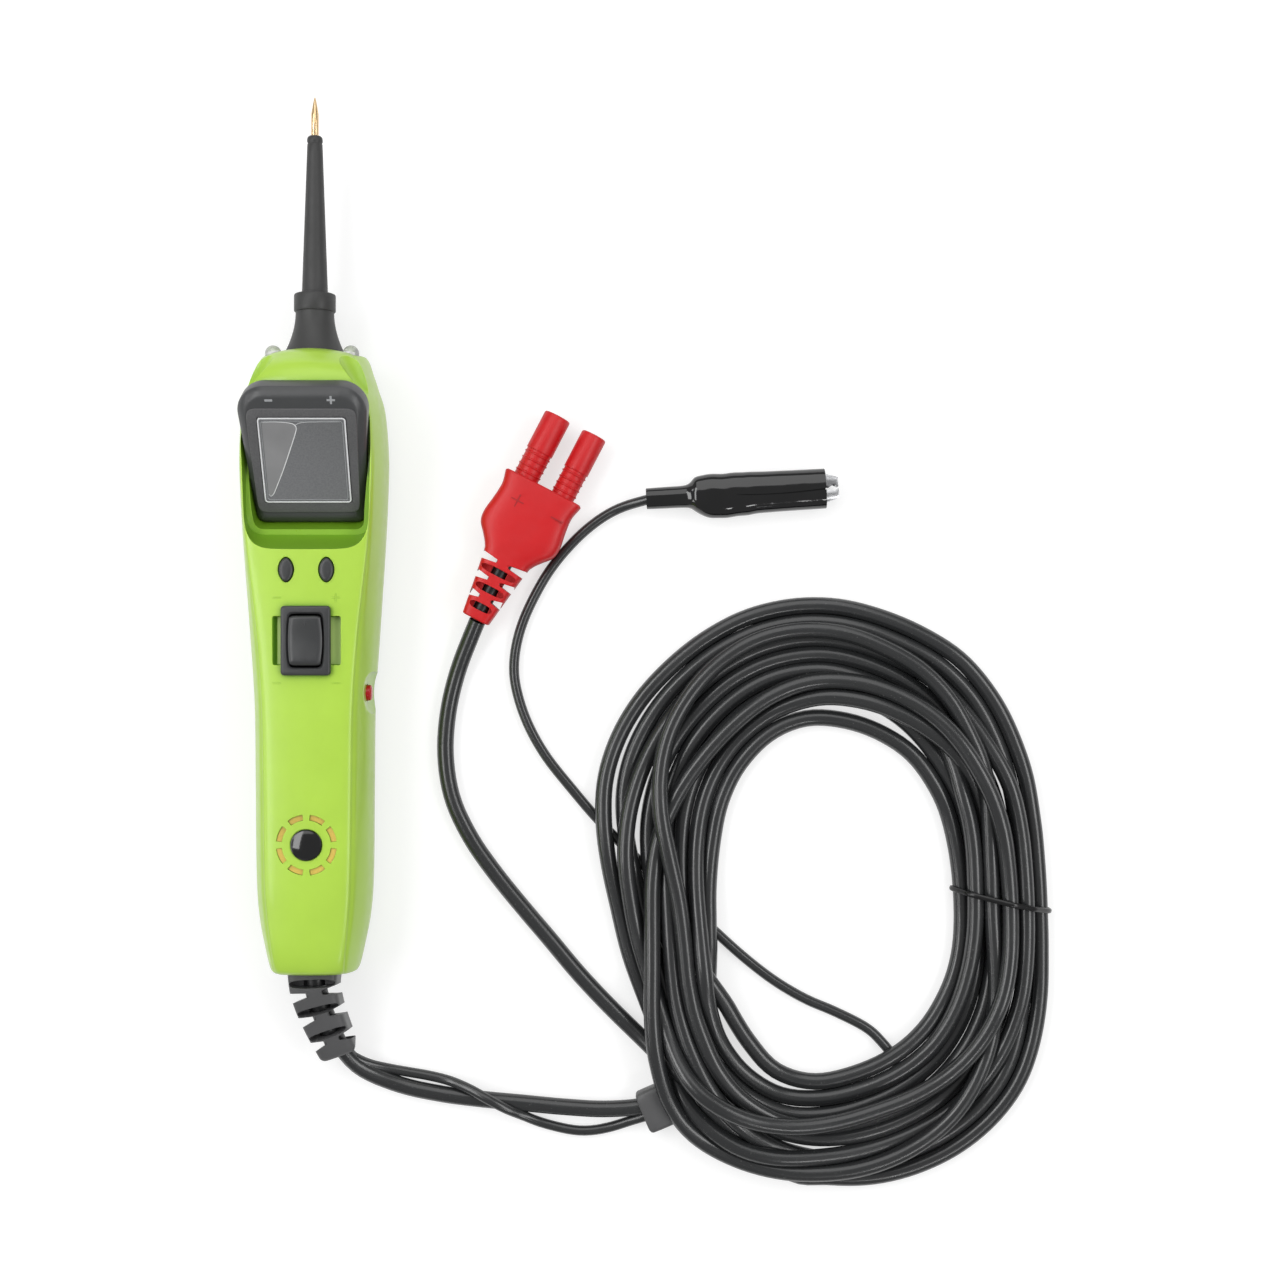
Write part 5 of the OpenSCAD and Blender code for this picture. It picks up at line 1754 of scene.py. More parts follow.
    def rear(self) -> None:
        """Builds the rear shell with its screw posts and their holes."""
        lay = self.lay
        shell = self.shell(Half.REAR, [self.pad(Half.REAR)])
        head_y, tail_y = lay.display_y + 12, lay.tail_y + 17
        places = [[16, head_y, 0], [-16, head_y, 0], [6.5, tail_y, 0], [-6.5, tail_y, 0]]
        feet = (1.9, 1.9, 0.6, 0.6)
        post = ellipse(3.1, 3.1, 32)
        carve(shell, [moved(standing(f"post_{k}", post, foot, lay.seam_z - 0.2), at)
                      for k, (at, foot) in enumerate(zip(places, feet))], Cut.JOIN)
        hole = turned([[3.2, -1], [3.1, 0.0], [2.8, 0.3], [2.8, 5.0], [1.4, 5.0], [1.4, 20.0]], 32)
        carve(shell, [skinned(f"screw_hole_{k}", hole + at) for k, at in enumerate(places)])
        carve(shell, self.openings(Half.REAR))
        fit(shell, GREEN, ("rear_case",))

    def build(self) -> None:
        """Builds both shells and dresses the screws."""
        self.front()
        self.marks()
        self.rear()
        keep("case_screws", STEEL)


# Display

@dataclass
class Display:
    """Tilted display: bezel with an arched top, textured face plate, lens with painted highlight lines along its
    edge, module behind.
    """

    lay: Layout = LAYOUT
    top_w: float = 38.6
    low_w: float = 33.0
    length: float = 44.0
    top_r: float = 8.0
    low_r: float = 2.5
    depth: float = 7.6
    lens_w: float = 26.5
    lens_l: float = 27.6
    lens_v: float = -0.7

    def stood(self, points: Array) -> Array:
        """Puts points of the display's own frame, across, up the slope and out of it, into the shared one."""
        tilt = math.radians(self.lay.display_tilt)
        across, slope, out = np.moveaxis(points, -1, 0)
        return np.stack([across, self.lay.display_y + slope * math.cos(tilt) - out * math.sin(tilt),
                         self.lay.display_z + slope * math.sin(tilt) + out * math.cos(tilt)], axis=-1)

    def outline(self, grow: float, angle: Array) -> Array:
        """Outline of the bezel: the smallest shape round four corner circles, read at given angles.

        Args:
            grow: How far it is grown; less than nought shrinks it.
            angle: Angles to read.

        Returns:
            Points, shape (n, 2).
        """
        top, low, half = self.top_w / 2 - self.top_r, self.low_w / 2 - self.low_r, self.length / 2
        centres = np.array([[top, half - self.top_r], [-top, half - self.top_r],
                            [-low, self.low_r - half], [low, self.low_r - half]])
        radii = np.array([self.top_r, self.top_r, self.low_r, self.low_r])
        facing = compass(around(720))
        return met(compass(angle), facing, (facing @ centres.T + radii + grow).max(axis=1))

    def bezel(self) -> None:
        """Builds the bezel: walls, a wide outer bevel and a flat front that carries the face plate."""
        angle = around(200)
        bevel = 2.4
        levels = [(0.0, -self.depth), (0.0, -bevel - 0.3), (-0.15, -bevel + 0.2),
                  (-bevel * 0.5, -bevel * 0.55), (-bevel * 0.9, -0.62), (-bevel - 0.15, -0.42),
                  (-bevel - 0.8, -0.4)]
        rings = np.stack([lifted(self.outline(grow, angle), v) for grow, v in levels])
        bezel = skinned("bezel", self.stood(rings))
        self.cut_window(bezel)
        fit(bezel, BEZEL, ("display_bezel",))
        plate = self.plate()
        self.cut_window(plate)
        fit(plate, FACEPLATE)

    def cut_window(self, obj: Solid) -> None:
        """Cuts the window of the lens."""
        shape = rounded(self.lens_w / 2 + 0.15, self.lens_l / 2 + 0.15, 0.9, 5) + [0, self.lens_v]
        rings = np.stack([lifted(shape, v) for v in (-self.depth - 1, 3.0)])
        carve(obj, [skinned("window", self.stood(rings))])

    def plate(self) -> Solid:
        """Raises the textured face plate round the lens, wider at its top than at its foot.

        Returns:
            The plate.
        """
        half_low, half_top, foot, head = self.lens_w / 2 + 2.3, self.lens_w / 2 + 3.3, -17.8, 15.8
        middle = np.array([0.0, (foot + head) / 2])
        shape = mirrored(np.array([[half_low, foot], [half_top, head]]))
        outline = Housing.across(shape - middle, around(160), 1.6)
        steps = [(0.0, -1.0), (0.0, -0.25), (0.12, -0.06), (0.35, 0.0)]
        return skinned("face_plate", self.stood(stepped(outline, steps, middle)))

    def lens(self) -> None:
        """Builds the lens and the pale lines along its bevelled edge, which are painted highlights."""
        shape = rounded(self.lens_w / 2 - 0.05, self.lens_l / 2 - 0.05, 0.8, 6)
        steps = [(0.0, -2.8), (0.0, -0.1), (0.1, 0.1), (0.5, 0.25), (0.9, 0.26), (1.05, 0.12)]
        lens = skinned("lens", self.stood(stepped(shape, steps, (0.0, self.lens_v))))
        fit(lens, LENS, ("display_lens",))
        # Painted highlights on the lens's two bevels: a pale outer line and a grey inner one.
        for k, (inset, width, finish) in enumerate(((0.3, 0.45, PALE_EDGE_HIGHLIGHT), (1.1, 0.18, PRINT_AND_HIGHLIGHT))):
            fit(self.edge_line(f"lens_edge_{k}", inset, width), finish)

    def film(self) -> None:
        """Lays the film that is still on the lens: its two creases, drawn as pale lines of painted highlight, and
        the patch inside the long one.
        """
        top = [0, self.lens_l / 2 + self.lens_v]
        crease = np.array([[-11.9, -1.5], [-8, -1.4], [-4.5, -1.6], [-2.5, -2.1], [-1.7, -3.2], [-2.1, -5],
                           [-4, -10], [-6.8, -17], [-9.4, -22.8], [-10.3, -24.6], [-11.2, -25.4],
                           [-11.9, -24.6]]) + top
        fold = np.array([[-2.2, -2.6], [-1, -1.9], [1, -1.5], [5, -1.4], [11.6, -1.4]]) + top
        for name, points, width in (("film_crease", crease, 0.3), ("film_fold", fold, 0.14)):
            fit(self.film_line(name, points, width), PALE_EDGE_HIGHLIGHT)
        low = lifted(smooth_line(crease, 3), 0.02)
        fit(skinned("film_patch", self.stood(np.stack([low, low + [0, 0, 0.13]]))), FILM)

    def edge_line(self, name: str, inset: float, width: float) -> Solid:
        """Lays a thin raised line round the lens.

        Args:
            name: Name of the piece.
            inset: Distance from the lens's side.
            width: Width of the line.

        Returns:
            The line.
        """
        shape = rounded(self.lens_w / 2 - inset, self.lens_l / 2 - inset, 0.8, 6) + [0, self.lens_v]
        path = lifted(shape, 0.24)
        rings = swept(path, ellipse(width / 2, 0.09, 8), np.cross(ring_headings(path), UP), UP[None])
        return skinned(name, self.stood(np.concatenate([rings, rings[:1]])), Ends.OPEN)

    def film_line(self, name: str, points: Array, width: float) -> Solid:
        """Lays a crease of the film along a smooth line on the lens, thinner to its ends."""
        path = lifted(smooth_line(points, 8), 0.13)
        taper = np.sin(np.linspace(0.15, math.pi - 0.1, len(path))) ** 0.5
        sections = ellipse(width / 2, 0.07, 8) * taper[:, None, None]
        return skinned(name, self.stood(swept(path, sections, np.cross(headings(path), UP), UP[None])))

    def marks(self) -> None:
        """Prints the plus and minus marks on the upper band of the bezel."""
        for name, at, bars in (("mark_minus", [-9.3, 18.3, 0], [(2.3, 0.7)]),
                               ("mark_plus", [9.2, 18.4, 0], [(2.5, 0.62), (0.62, 2.5)])):
            obj = mark(name, bars, (0.12, 4), (-0.6, -0.36), lambda points: self.stood(points + at))
            fit(obj, PRINT_AND_HIGHLIGHT)

    def build(self) -> None:
        """Builds the display."""
        self.bezel()
        self.lens()
        self.film()
        self.marks()
        keep("display_module", MODULE)


# Controls

@dataclass
class Controls:
    """Rocker switch in its frame, two oval buttons, the round reset button and the marks beside them."""

    lay: Layout = LAYOUT
    flange_w: float = 15.0
    flange_l: float = 21.0
    flange_h: float = 1.7
    rocker_w: float = 10.3
    rocker_l: float = 15.0
    rocker_drop: float = 2.45
    bow: float = 0.65
    button_w: float = 4.4
    button_l: float = 7.2
    reset_d: float = 4.9

    def frame_of_rocker(self) -> None:
        """Builds the switch frame: a flange with rounded corners over a box, with the well of the rocker."""
        z, high = self.lay.face_z + 0.15, self.flange_h
        outline = rounded(self.flange_w / 2, self.flange_l / 2, 1.1, 7)
        flange = rounded_solid("switch_frame", outline, z, z + high, 0.7, 5)
        carve(flange, [standing("switch_box", rounded(6.45, 9.65, 0.5, 3), z - 12.5, z + 0.2)], Cut.JOIN)
        steps = [(0.0, z - 10.5), (0.0, z + (high - 0.5)), (-0.5, z + (high + 0.02)), (-0.5, z + 4.0)]
        carve(flange, [skinned("rocker_well", stepped(self.barrel(self.rocker_l / 2 + 0.65, 0.3), steps))])
        moved(flange, [0, self.lay.rocker_y, 0])
        fit(flange, SWITCH, ("rocker_frame",))

    def barrel(self, half_l: float, room: float) -> Array:
        """Outline of the rocker's well: a box with bowed long sides and soft corners."""
        y = half_l * np.sin(np.linspace(-math.pi / 2, math.pi / 2, 41))
        half = self.rocker_w / 2 + room - self.bow * (y / half_l) ** 2
        half -= 1.1 * np.clip(np.abs(y) / half_l * 9 - 8, 0, 1) ** 3
        return mirrored(np.stack([half, y], axis=1))

    def rocker(self) -> None:
        """Builds the rocker: a hollowed saddle between two raised ends, narrower towards them.

        The height along the rocker is a smooth line through a few places; the width falls with the
        square of the distance from the middle, and the top is crowned across.
        """
        along = np.array([-7.5, -7.4, -7.0, -6.2, -5.0, -2.6, 0.0, 2.6, 5.0, 6.4, 7.0, 7.4, 7.5])
        height = np.array([3.6, 4.35, 4.85, 5.2, 5.22, 5.02, 4.9, 5.02, 5.3, 5.42, 5.3, 4.9, 4.2])
        fine = smooth_line(np.stack([along, height], axis=1), 5)
        y, top = fine[:, 0], fine[:, 1]
        share = np.abs(y) / (self.rocker_l / 2)
        half = self.rocker_w / 2 - self.bow * share**2 - 0.9 * np.clip(share * 9 - 8, 0, 1) ** 3
        across = np.linspace(-1, 1, 15)
        crown = 0.22 * (1 - across**2) - 0.35 * np.clip(np.abs(across) - 0.86, 0, 1) / 0.14
        upper = np.stack([across[None] * half[:, None], np.broadcast_to(y[:, None], (len(y), 15)),
                          top[:, None] + crown[None]], axis=2)
        foot = np.interp(y, [-7.5, -2.6, 0, 2.6, 7.5], [1.5, -2.6, -5.0, -2.6, 1.5])
        lower = np.stack([np.stack([-half, y, foot], axis=1), np.stack([half, y, foot], axis=1)], axis=1)
        rings = np.concatenate([upper, lower[:, ::-1]], axis=1)
        obj = skinned("rocker_cap", rings + [0, self.lay.rocker_y, self.lay.face_z - self.rocker_drop])
        fit(obj, SWITCH, ("rocker",), "rocker_body")

    def rocker_marks(self) -> None:
        """Raises a faint minus and plus on the ends of the rocker."""
        z = self.lay.face_z - self.rocker_drop + 5.45
        for name, y, lift, bars in (("rocker_minus", -5.4, 0.0, [(1.6, 0.3)]),
                                    ("rocker_plus", 5.4, 0.12, [(1.6, 0.3), (0.3, 1.6)])):
            at = [0, self.lay.rocker_y + y, lift]
            obj = mark(name, bars, (0.1, 3), (z - 0.3, z + 0.08), lambda points: points + at)
            fit(obj, SWITCH, body="rocker_body")

    def buttons(self) -> None:
        """Builds the two oval buttons, domed, each on its flange."""
        lay = self.lay
        top, flange = lay.face_z + 0.9, lay.face_z - lay.wall - 1.05
        shape = soft_box(1.0, 1.0, 1.8, 56)
        half = np.array([self.button_w / 2, self.button_l / 2])
        levels = [(0.8, flange), (0.8, flange + 0.6), (0.0, flange + 0.6), (0.0, top - 0.75),
                  (-0.1, top - 0.4), (-0.35, top - 0.15), (-0.9, top - 0.02), (-1.5, top)]
        rings = np.stack([lifted(shape * (half + grow), z) for grow, z in levels])
        for side, word in ((-1, "left"), (1, "right")):
            obj = skinned(f"oval_button_{word}", rings + [side * lay.button_x, lay.button_y, 0])
            fit(obj, SWITCH, (f"mode_button_{word}",), f"{word}_button_body")

    def reset(self) -> None:
        """Builds the round reset button, domed at its end, lying in the flank."""
        lay, r = self.lay, self.reset_d / 2
        profile = [[r, 0], [r, 8.0], [r - 0.12, 8.45], [r - 0.5, 8.7], [r * 0.5, 8.79], [0.02, 8.8]]
        at = [lay.grip_w / 2 - 9, lay.reset_y, lay.seam_z + 1]
        obj = skinned("round_button", sideways(profile, 48) + at)
        fit(obj, RED_BUTTON, ("reset_button",), "reset_body")

    def build(self) -> None:
        """Builds all controls and dresses what lies under them."""
        self.frame_of_rocker()
        self.rocker()
        self.rocker_marks()
        self.buttons()
        self.reset()
        for node, finish in (("rocker_terminals", BRASS), ("breaker_body", SWITCH), ("tact_switches", SWITCH),
                             ("main_board", BOARD), ("button_board", BOARD)):
            keep(node, finish)


@dataclass
class Sounder:
    """Brass sounder disc behind the slots and the round badge in their middle."""

    lay: Layout = LAYOUT
    badge_r: float = 4.7

    def build(self) -> None:
        """Builds the domed badge with its thin rim and keeps the disc."""
        z, r = self.lay.face_z - 0.7, self.badge_r
        share = np.linspace(1, 0.02, 12)
        dome = np.stack([r * 0.93 * share, z + 0.98 + 0.72 * (1 - share**2)], axis=1)
        profile = [[r, z], [r, z + 0.9], [r - 0.12, z + 1.06], [r * 0.95, z + 1.08], *dome]
        badge = skinned("badge_dome", turned(profile, 72) + [0, self.lay.sounder_y, 0])
        fit(badge, BADGE, ("badge",))
        keep("sounder_disc", SLOT_BRASS)


# Probe

@dataclass
class Probe:
    """Brass rod in a tapered sleeve, flared nozzle with its collar, and the two lamps beside it."""

    lay: Layout = LAYOUT
    rod_r: float = 1.17
    rod_inside: float = 31.5
    sleeve_r: float = 4.05
    nozzle_r: float = 9.2
    flange_r: float = 10.1
    collar_l: float = 5.6
    collar_r: float = 6.4
    lamp_r: float = 2.5
    lamp_tip: float = 1.6
    root: float = -4.6

    def spun(self, name: str, profile: Profile, start: float = 0.0, count: int = 72, x: float = 0.0,
             z: float = LAYOUT.seam_z) -> Solid:
        """Turns a profile about an axis along the tester, its distances counted from the neck and a start."""
        return skinned(name, lying(profile, count) + [x, self.lay.neck_y + start, z])

    def rod(self) -> None:
        """Builds the rod: a straight shaft and a point whose flanks bow slightly outwards."""
        lay = self.lay
        total = self.rod_inside + lay.nozzle_l + lay.sleeve_l
        straight, tip = total + lay.tip_l * 0.56, lay.tip_l * 0.44
        point = [[self.rod_r * (1 - t) ** 0.8 + 0.1 * t, straight + tip * t]
                 for t in np.linspace(0.04, 1, 12)]
        profile = [[self.rod_r - 0.1, 0.0], [self.rod_r - 0.1, total - 0.2], [self.rod_r, total],
                   [self.rod_r, straight], *point]
        fit(self.spun("rod", profile, -self.rod_inside, 40), BRASS, ("probe_tip",))

    def sleeve(self) -> None:
        """Builds the sleeve: a straight taper with a small neck and rounded lip at its front."""
        long = self.lay.sleeve_l
        r, front = self.sleeve_r, self.rod_r + 1.18
        inner = self.rod_r - 0.05
        taper = [[mix(r * 0.98, front, t), 1.0 + (long - 3.6) * t] for t in np.linspace(0, 1, 16)]
        lip = [[front - 0.14, long - 2.4], [front - 0.12, long - 2.1], [front + 0.05, long - 1.7],
               [front + 0.04, long - 0.9], [front - 0.12, long - 0.4], [front - 0.5, long - 0.05],
               [inner, long]]
        profile = [[inner, 0.0], [r, 0.0], [r, 0.6], *taper, *lip]
        fit(self.spun("sleeve", profile, self.lay.nozzle_l), RUBBER, ("probe_sleeve",))

    def nozzle(self) -> None:
        """Builds the nozzle: a bell that closes in a quarter of a sine, then a plain collar."""
        lay, wide, r, end = self.lay, self.nozzle_r, self.collar_r, self.lay.nozzle_l
        flare, inner, back = end - self.collar_l, self.rod_r - 0.05, -lay.wall - 0.15
        bell = [[mix(wide, r - 0.5, math.sin(math.pi / 2 * t**0.9)), flare * t]
                for t in np.linspace(0, 1, 24)]
        collar = [[r - 0.15, flare + 0.1], [r, flare + 0.35], [r, end - 0.6], [r - 0.18, end - 0.18],
                  [r - 0.6, end], [inner, end]]
        profile = [[inner, self.root], [self.flange_r, self.root], [self.flange_r, back], [wide, back], *bell,
                   *collar]
        fit(self.spun("nozzle", profile, 0.0, 96), RUBBER, ("probe_nozzle",))

    def lamps(self) -> None:
        """Builds the two clear lamps, a dome on a barrel with its foot ring, and the cup inside each."""
        r, foot = self.lamp_r, self.lamp_tip - self.lamp_r
        dome = [[r * math.sin(a), foot + r * math.cos(a)] for a in np.linspace(0.03, math.pi / 2, 14)]
        barrel = [*dome, [r, foot - 7.0], [r + 0.4, foot - 7.0], [r + 0.4, foot - 8.2], [0.05, foot - 8.2]]
        cup = [[0.05, -4.6], [1.1, -4.6], [1.7, -3.2], [1.55, -3.2], [0.9, -4.3], [0.05, -4.3]]
        for side, word in ((-1, "left"), (1, "right")):
            at = (side * self.lay.lamp_x, self.lay.lamp_z)
            lamp = self.spun(f"lamp_dome_{word}", barrel[::-1], 0.0, 40, *at)
            fit(lamp, LAMP_GLASS, (f"lamp_{word}",))
            fit(self.spun(f"lamp_cup_{word}", cup, 0.0, 24, *at), STEEL)

    def build(self) -> None:
        """Builds the probe and its lamps."""
        self.rod()
        self.sleeve()
        self.nozzle()
        self.lamps()
        keep("probe_terminal", BRASS)


class Slot(Enum):
    """Outlines of the slots of a strain relief."""

    LENS = "two narrow ends"
    WEDGE = "wide mouth and round end"


def notch(name: str, half: Place, middle: Array, axes: Array, slot: Slot) -> Solid:
    """Makes the cutter of one slot of a strain relief.

    Args:
        name: Name of the cutter.
        half: Half reach, half width at its widest and half height.
        middle: Its middle.
        axes: Its axes as rows, the first along the reach, away from the lead.
        slot: Outline of the slot.

    Returns:
        The cutter.
    """
    reach, wide, tall = half
    if slot is Slot.LENS:
        outline = soft_box(reach, wide, 2.6, 32)
    else:
        r = wide * 0.45
        arc = compass(np.linspace(math.pi / 2, 1.5 * math.pi, 9)) * r + [r, 0] - [reach, 0]
        outline = np.concatenate([arc, [[reach, -wide], [reach, wide]]])
    return skinned(name, np.stack([lifted(outline, v) for v in (-tall, tall)]) @ axes + middle)


# Cable boot

@dataclass
class CableBoot:
    """Ribbed boot at the tail: a narrowing box with slots cut by turns from its faces and its sides."""

    lay: Layout = LAYOUT
    length: float = 26.0
    start_w: float = 16.4
    start_h: float = 13.6
    end_w: float = 11.8
    end_h: float = 10.0
    slot: float = 2.7
    notch: float = 3.3
    slot_places: tuple[float, ...] = (0.19, 0.315, 0.43, 0.565, 0.70, 0.855)
    open_way: Place = (0.06, 0.12, 0.99)
    bore_r: float = 3.5
    core_r: float = 3.4

    def axis(self) -> Array:
        """Middle line of the boot, bending down and to the right.

        Returns:
            Points at an even distance.
        """
        y, z, l = self.lay.tail_y, self.lay.seam_z, self.length
        points = np.array([
            [0, y + 2.2, z], [0, y + 0.2, z], [0.2, y - 0.2 * l, z], [1.4, y - 0.42 * l, z - 1],
            [3.0, y - 0.62 * l, z - 2.4], [4.7, y - 0.81 * l, z - 4.2], [6.5, y - l, z - 6.2]])
        return evenly(smooth_line(points, 8), 0.5)

    def sections(self, steps: int) -> Array:
        """Flat sections along the boot: a box with a low roof, smaller to the end and round at both ends.

        Args:
            steps: Number of sections.

        Returns:
            Sections, shape (steps, n, 2).
        """
        share = np.linspace(0, 1, steps)
        base = soft_box(1.0, 1.0, 7.0, 72)
        ends = 1 - 0.1 * np.clip(1 - (1 - share) * steps / 3, 0, 1) ** 2
        roof = np.abs(1 + 0.05 * (1 - np.abs(base[:, 0])) * np.sign(base[:, 1]))
        width, height = self.size(share)
        return np.stack([base[None, :, 0] * (width * ends / 2)[:, None],
                         (base[:, 1] * roof)[None] * (height * ends / 2.1)[:, None]], axis=2)

    def size(self, share: Array) -> tuple[Array, Array]:
        """Gives the boot's width and height at shares of its length."""
        return mix(self.start_w, self.end_w, share**0.75), mix(self.start_h, self.end_h, share)

    def slots(self, line: Array) -> list[Solid]:
        """Cutters of the slots, by turns a pair in the faces and a pair in the sides.

        Args:
            line: Middle line of the boot.

        Returns:
            The cutters.
        """
        t, side, lift = frames(line)
        width, height = self.size(np.linspace(0, 1, len(line)))
        tools = []
        for k, place in enumerate(self.slot_places):
            at = int(len(line) * place)
            w, h, across, up = width[at], height[at], side[at], lift[at]
            inner, outer, deep = 2.0, w / 2 + 0.7, (h / 2 - 1.2) / 2 + 0.6
            for s in (-1, 1):
                if k % 2 == 0:
                    half, slot = (w / 2 - 0.5, self.slot / 2, deep), Slot.LENS
                    middle = line[at] + s * up * (1.2 + deep)
                    axes = np.stack([across, t[at], up])
                else:
                    half, slot = ((outer - inner) / 2, self.notch / 2, h), Slot.WEDGE
                    middle = line[at] + s * across * (inner + outer) / 2
                    axes = np.stack([s * across, s * unit(np.cross(self.open_way, across)), self.open_way])
                tools.append(notch(f"slot_{k}_{s}", half, middle, axes, slot))
        return tools

    def build(self) -> None:
        """Builds the boot with its bore and slots, the lead inside it and its flange inside the housing."""
        line = self.axis()
        boot = skinned("ribbed_boot", stand(line, self.sections(len(line))))
        carve(boot, [skinned("boot_bore", stand(line, ellipse(self.bore_r, self.bore_r, 24)))])
        carve(boot, self.slots(line))
        fit(skinned("boot_core", stand(line[:-6], ellipse(self.core_r, self.core_r, 24))), CORE)
        y, z = self.lay.tail_y, self.lay.seam_z
        carve(boot, [block("flange", [-9.2, y + 2.0, z - 7.8], [9.2, y + 4.2, z + 7.8])], Cut.JOIN)
        bevelled(boot, 0.2, 2, 40.0)
        fit(boot, BOOT_RUBBER, ("cable_boot",))


# Battery plug

@dataclass
class BatteryPlug:
    """Red two-socket plug: a waisted body, two ribbed sockets, a slotted tail and brass contacts."""

    at: Place = (70.6, 14.9, 6.0)
    turn: float = -27.5
    pitch: float = 12.9
    thick: float = 11.6
    plus_d: float = 8.7
    minus_d: float = 8.2
    socket_l: float = 21.8
    contact_r: float = 2.9
    bore_r: float = 2.0
    contact_depth: float = 16.0
    tail_end: float = -24.6
    rib_start: float = 1.2
    rib_pitch: float = 2.1
    body_half: tuple[Place, ...] = (
        (12.7, 0.0, 0.84), (13.0, -0.35, 0.9), (13.1, -0.9, 0.93), (12.2, -5, 0.98), (12.6, -10, 1), (13.3, -15, 1),
        (12.7, -18.5, 0.98), (10.2, -21.6, 0.93), (8.3, -24.2, 0.87), (7.5, -26.6, 0.83), (6, -36, 0.78),
        (4.7, -45.2, 0.71), (4.5, -46.3, 0.69), (4.1, -46.6, 0.64))

    def world(self, points: Array) -> Array:
        """Puts points of the plug's own frame, with Y along the sockets, into the shared frame."""
        return placed(points, self.at, self.turn)

    def spun(self, name: str, profile: Profile, count: int, side: int = 0) -> Solid:
        """Turns a profile about the axis of one socket, or of the tail where the side is nought."""
        return skinned(name, self.world(lying(profile, count) + [side * self.pitch / 2, 0, 0]))

    def body(self) -> Solid:
        """Builds the body, its sockets and the slots of its tail.

        Returns:
            The body.
        """
        rows = smooth_line(np.array(self.body_half), 5)
        base = soft_box(1.0, 1.0, 4.2, 64)
        rings = np.stack([np.stack([base[:, 0] * w, np.full(64, y), base[:, 1] * self.thick / 2 * h], axis=1)
                          for w, y, h in rows])
        body = skinned("plug_moulding", self.world(rings))
        for side, d in ((-1, self.plus_d), (1, self.minus_d)):
            carve(body, [self.socket(side, d / 2)], Cut.JOIN)
        carve(body, [self.spun("tail_bore", [[2.95, -50.0], [2.95, self.tail_end]], 32)])
        carve(body, self.slots())
        r = self.contact_r + 0.05
        seat = [[r, self.socket_l - self.contact_depth - 1], [r, 40.0]]
        carve(body, [self.spun(f"bore_{side}", seat, 40, side) for side in (-1, 1)])
        return body

    def socket(self, side: int, r: float) -> Solid:
        """Builds one socket: a ribbed neck and a plain barrel with rounded ends.

        Args:
            side: -1 for the left socket, 1 for the right one.
            r: Radius of the barrel.

        Returns:
            The socket.
        """
        neck, long = r - 0.32, self.socket_l
        ribs = []
        for k in range(4):
            y = self.rib_start + self.rib_pitch * k
            ribs += [[neck, y], [r - 0.04, y + 0.22], [r - 0.04, y + 0.5], [neck, y + 0.72]]
        profile = [[neck, -2.0], [neck, 0.6], *ribs, [neck, 9.0], [r, 9.15], [r, long - 0.6],
                   [r - 0.2, long - 0.18], [r - 0.6, long], [0.05, long]]
        return self.spun(f"socket_{side}", profile, 56, side)

    def slots(self) -> list[Solid]:
        """Cutters of the tail: three slots in each face and three notches in each side, by turns.

        Returns:
            The cutters.
        """
        axes = placed(np.eye(3), (0.0, 0.0, 0.0), self.turn)
        tools = []
        for k in range(3):
            w = 15 + (8.6 - 15) * (k + 0.8) / 3
            for s in (-1, 1):
                face = self.world(np.array([0, -30.4 - 6 * k, s * 4.8]))
                tools.append(notch(f"plug_face_{k}_{s}", (w / 2 - 0.7, 1.15, 3.2), face, axes, Slot.LENS))
                edge = self.world(np.array([s * (w / 4 + 1.4), -27.4 - 6 * k, 0]))
                ways = axes * [[s], [s], [1]]
                tools.append(notch(f"plug_side_{k}_{s}", (w / 4 - 0.5, 1.25, 8.0), edge, ways, Slot.WEDGE))
        return tools

    def marks(self) -> list[Solid]:
        """Lays the plus and minus marks into the body under their sockets.

        Returns:
            The marks.
        """
        z, bar, post = self.thick / 2 - 0.12, (4.2, 0.42), (0.42, 4.2)
        pieces = []
        for word, at, bars in (("plus", [-5.0, -7.7, 0], [bar, post]), ("minus", [8.6, -7.4, 0], [bar])):
            obj = mark(f"plug_{word}", bars, (0.15, 4), (z - 0.5, z + 0.2),
                       lambda points: self.world(points + at))
            pieces.append(fit(obj, RED_SHADE))
        return pieces

    def contacts(self) -> list[Solid]:
        """Builds the two brass contacts with a rounded mouth.

        Returns:
            The contacts.
        """
        end, r, bore = self.socket_l - 1, self.contact_r, self.bore_r
        start = end - self.contact_depth
        profile = [[0.05, start], [r, start], [r, end - 0.25], [r - 0.2, end], [bore + 0.25, end],
                   [bore, end - 0.25], [bore, start + 1.5], [0.05, start + 1.5]]
        turned_pair = [(word, self.spun(f"plug_contact_{word}", profile, 48, side))
                       for word, side in (("positive", -1), ("negative", 1))]
        return [fit(obj, BRASS, (f"contact_{word}",)) for word, obj in turned_pair]

    def build(self) -> list[Solid]:
        """Builds the plug.

        Returns:
            Its pieces.
        """
        body = fit(self.body(), RED_RUBBER, ("plug_body",))
        core = fit(self.spun("tail_core", [[2.55, -46.0], [2.55, self.tail_end]], 32), CORE)
        return [body, core, *self.marks(), *self.contacts()]


# Ground clip

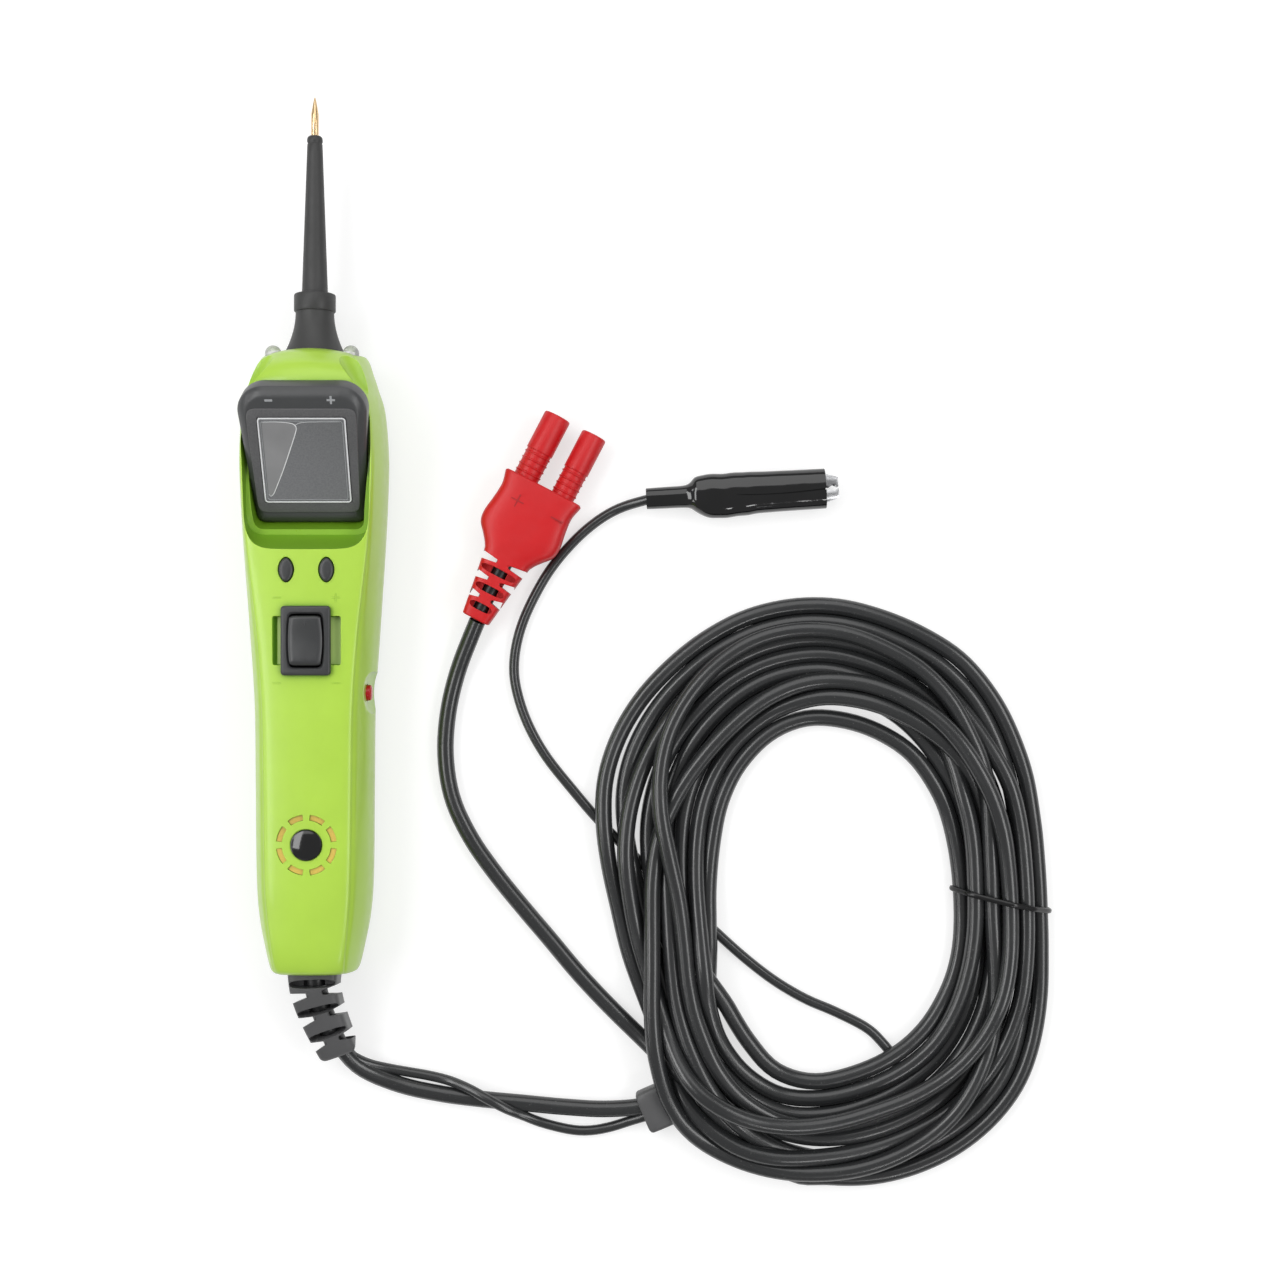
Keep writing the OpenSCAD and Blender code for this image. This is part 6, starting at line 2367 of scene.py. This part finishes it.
@dataclass
class SpringClip:
    """Toothed spring clip in a dipped vinyl boot, at the end of the ground lead."""

    at: Place = (102.9, 11.4, 5.1)
    turn: float = 3.3
    skin: float = 0.8
    stretch: tuple[Place, ...] = ((46.2, -3.4, 0.0), (50.0, 6.3, 0.0))

    def world(self, points: Array) -> Array:
        """Puts points of the clip's own frame, with X towards the jaws, into the shared frame."""
        return placed(points, self.at, self.turn)

    def boot(self) -> Solid:
        """Builds the vinyl boot: a thin tube that swells over the jaws, with a fold along its top.

        Each place along it has a half width to the left and right and a half height; folds ripple over
        the neck and fade out along the body.

        Returns:
            The boot.
        """
        places = np.array([
            [0.0, 3.15, 3.15, 3.1], [0.3, 3.3, 3.3, 3.2], [6, 3.4, 3.4, 3.3], [11.5, 3.5, 3.5, 3.4],
            [13.6, 4.2, 3.9, 3.9], [15.4, 5.9, 5.2, 4.7], [18, 6.5, 6.6, 4.95], [21, 6.6, 7.4, 5.0],
            [26, 6.6, 7.3, 4.95], [31, 6.7, 7.0, 4.95], [35, 6.55, 6.6, 4.9], [44, 6.4, 6.4, 4.9],
            [55.0, 6.3, 6.3, 4.9], [55.8, 6.25, 6.25, 4.85]])
        fine = smooth_line(places, 6)
        base = soft_box(1.0, 1.0, 2.35, 64)
        half_y = np.where(base[None, :, 1] > 0, fine[:, 1:2], fine[:, 2:3])
        ripple = np.sin(fine[:, :1] * 0.9 + 2 * np.sin(around(64))[None])
        fold = 0.1 * ripple * np.exp(-((fine[:, :1] - 24) / 9) ** 2)
        outer = np.stack([np.broadcast_to(fine[:, :1], (len(fine), 64)), base[None, :, 1] * (half_y + fold),
                          base[None, :, 0] * (fine[:, 3:4] + 0.4 * fold)], axis=2)
        inner = outer[fine[:, 0] > 1.5].copy()
        inner[..., 1:] *= 1 - self.skin / np.abs(inner[..., 1:]).max(axis=1, keepdims=True)
        inner[-1, :, 0] += 2.0
        boot = skinned("vinyl_boot", self.world(outer))
        carve(boot, [skinned("boot_space", self.world(inner))], smooth_deg=50.0)
        x = np.linspace(27.0, 57.0, 16)
        y, z = -0.6 - 0.5 * np.sin((x - 27) * 0.12), 4.95 - 0.35 * np.exp(-(x - 27) / 3)
        line = np.stack([x, y, z], axis=1)
        groove = ellipse(0.22, 0.5, 10) * np.linspace(0.5, 1.0, len(x))[:, None, None]
        carve(boot, [skinned("fold", self.world(stand(line, groove)))], smooth_deg=50.0)
        dress(boot, VINYL)
        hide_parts("clip_boot")
        start, end = (tuple(float(v) for v in at) for at in self.world(np.array(self.stretch)) * MM)
        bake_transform(boot)
        return boot

    def build(self) -> list[Solid]:
        """Builds the clip.

        Returns:
            Its pieces.
        """
        boot = self.boot()
        metal = [fit(softened(node, 0.15, 2), STEEL, (node,), body) for node, body in
                 (("clip_jaw_fixed", TESTER), ("clip_jaw_moving", "jaw_body"), ("clip_pivot", TESTER))]
        return [boot, *metal, keep("clip_spring", STEEL)]


def main() -> None:
    """Builds the scene in order."""
    Studio().build()
    plug = BatteryPlug().build()
    clip = SpringClip().build()
    CableBoot().build()
    Leads().build(plug, clip)
    for assembly in (Housing(), Display(), Controls(), Sounder(), Probe()):
        assembly.build()


if __name__ == "__main__":
    logging.basicConfig(level=logging.INFO, format="%(message)s")
    main()
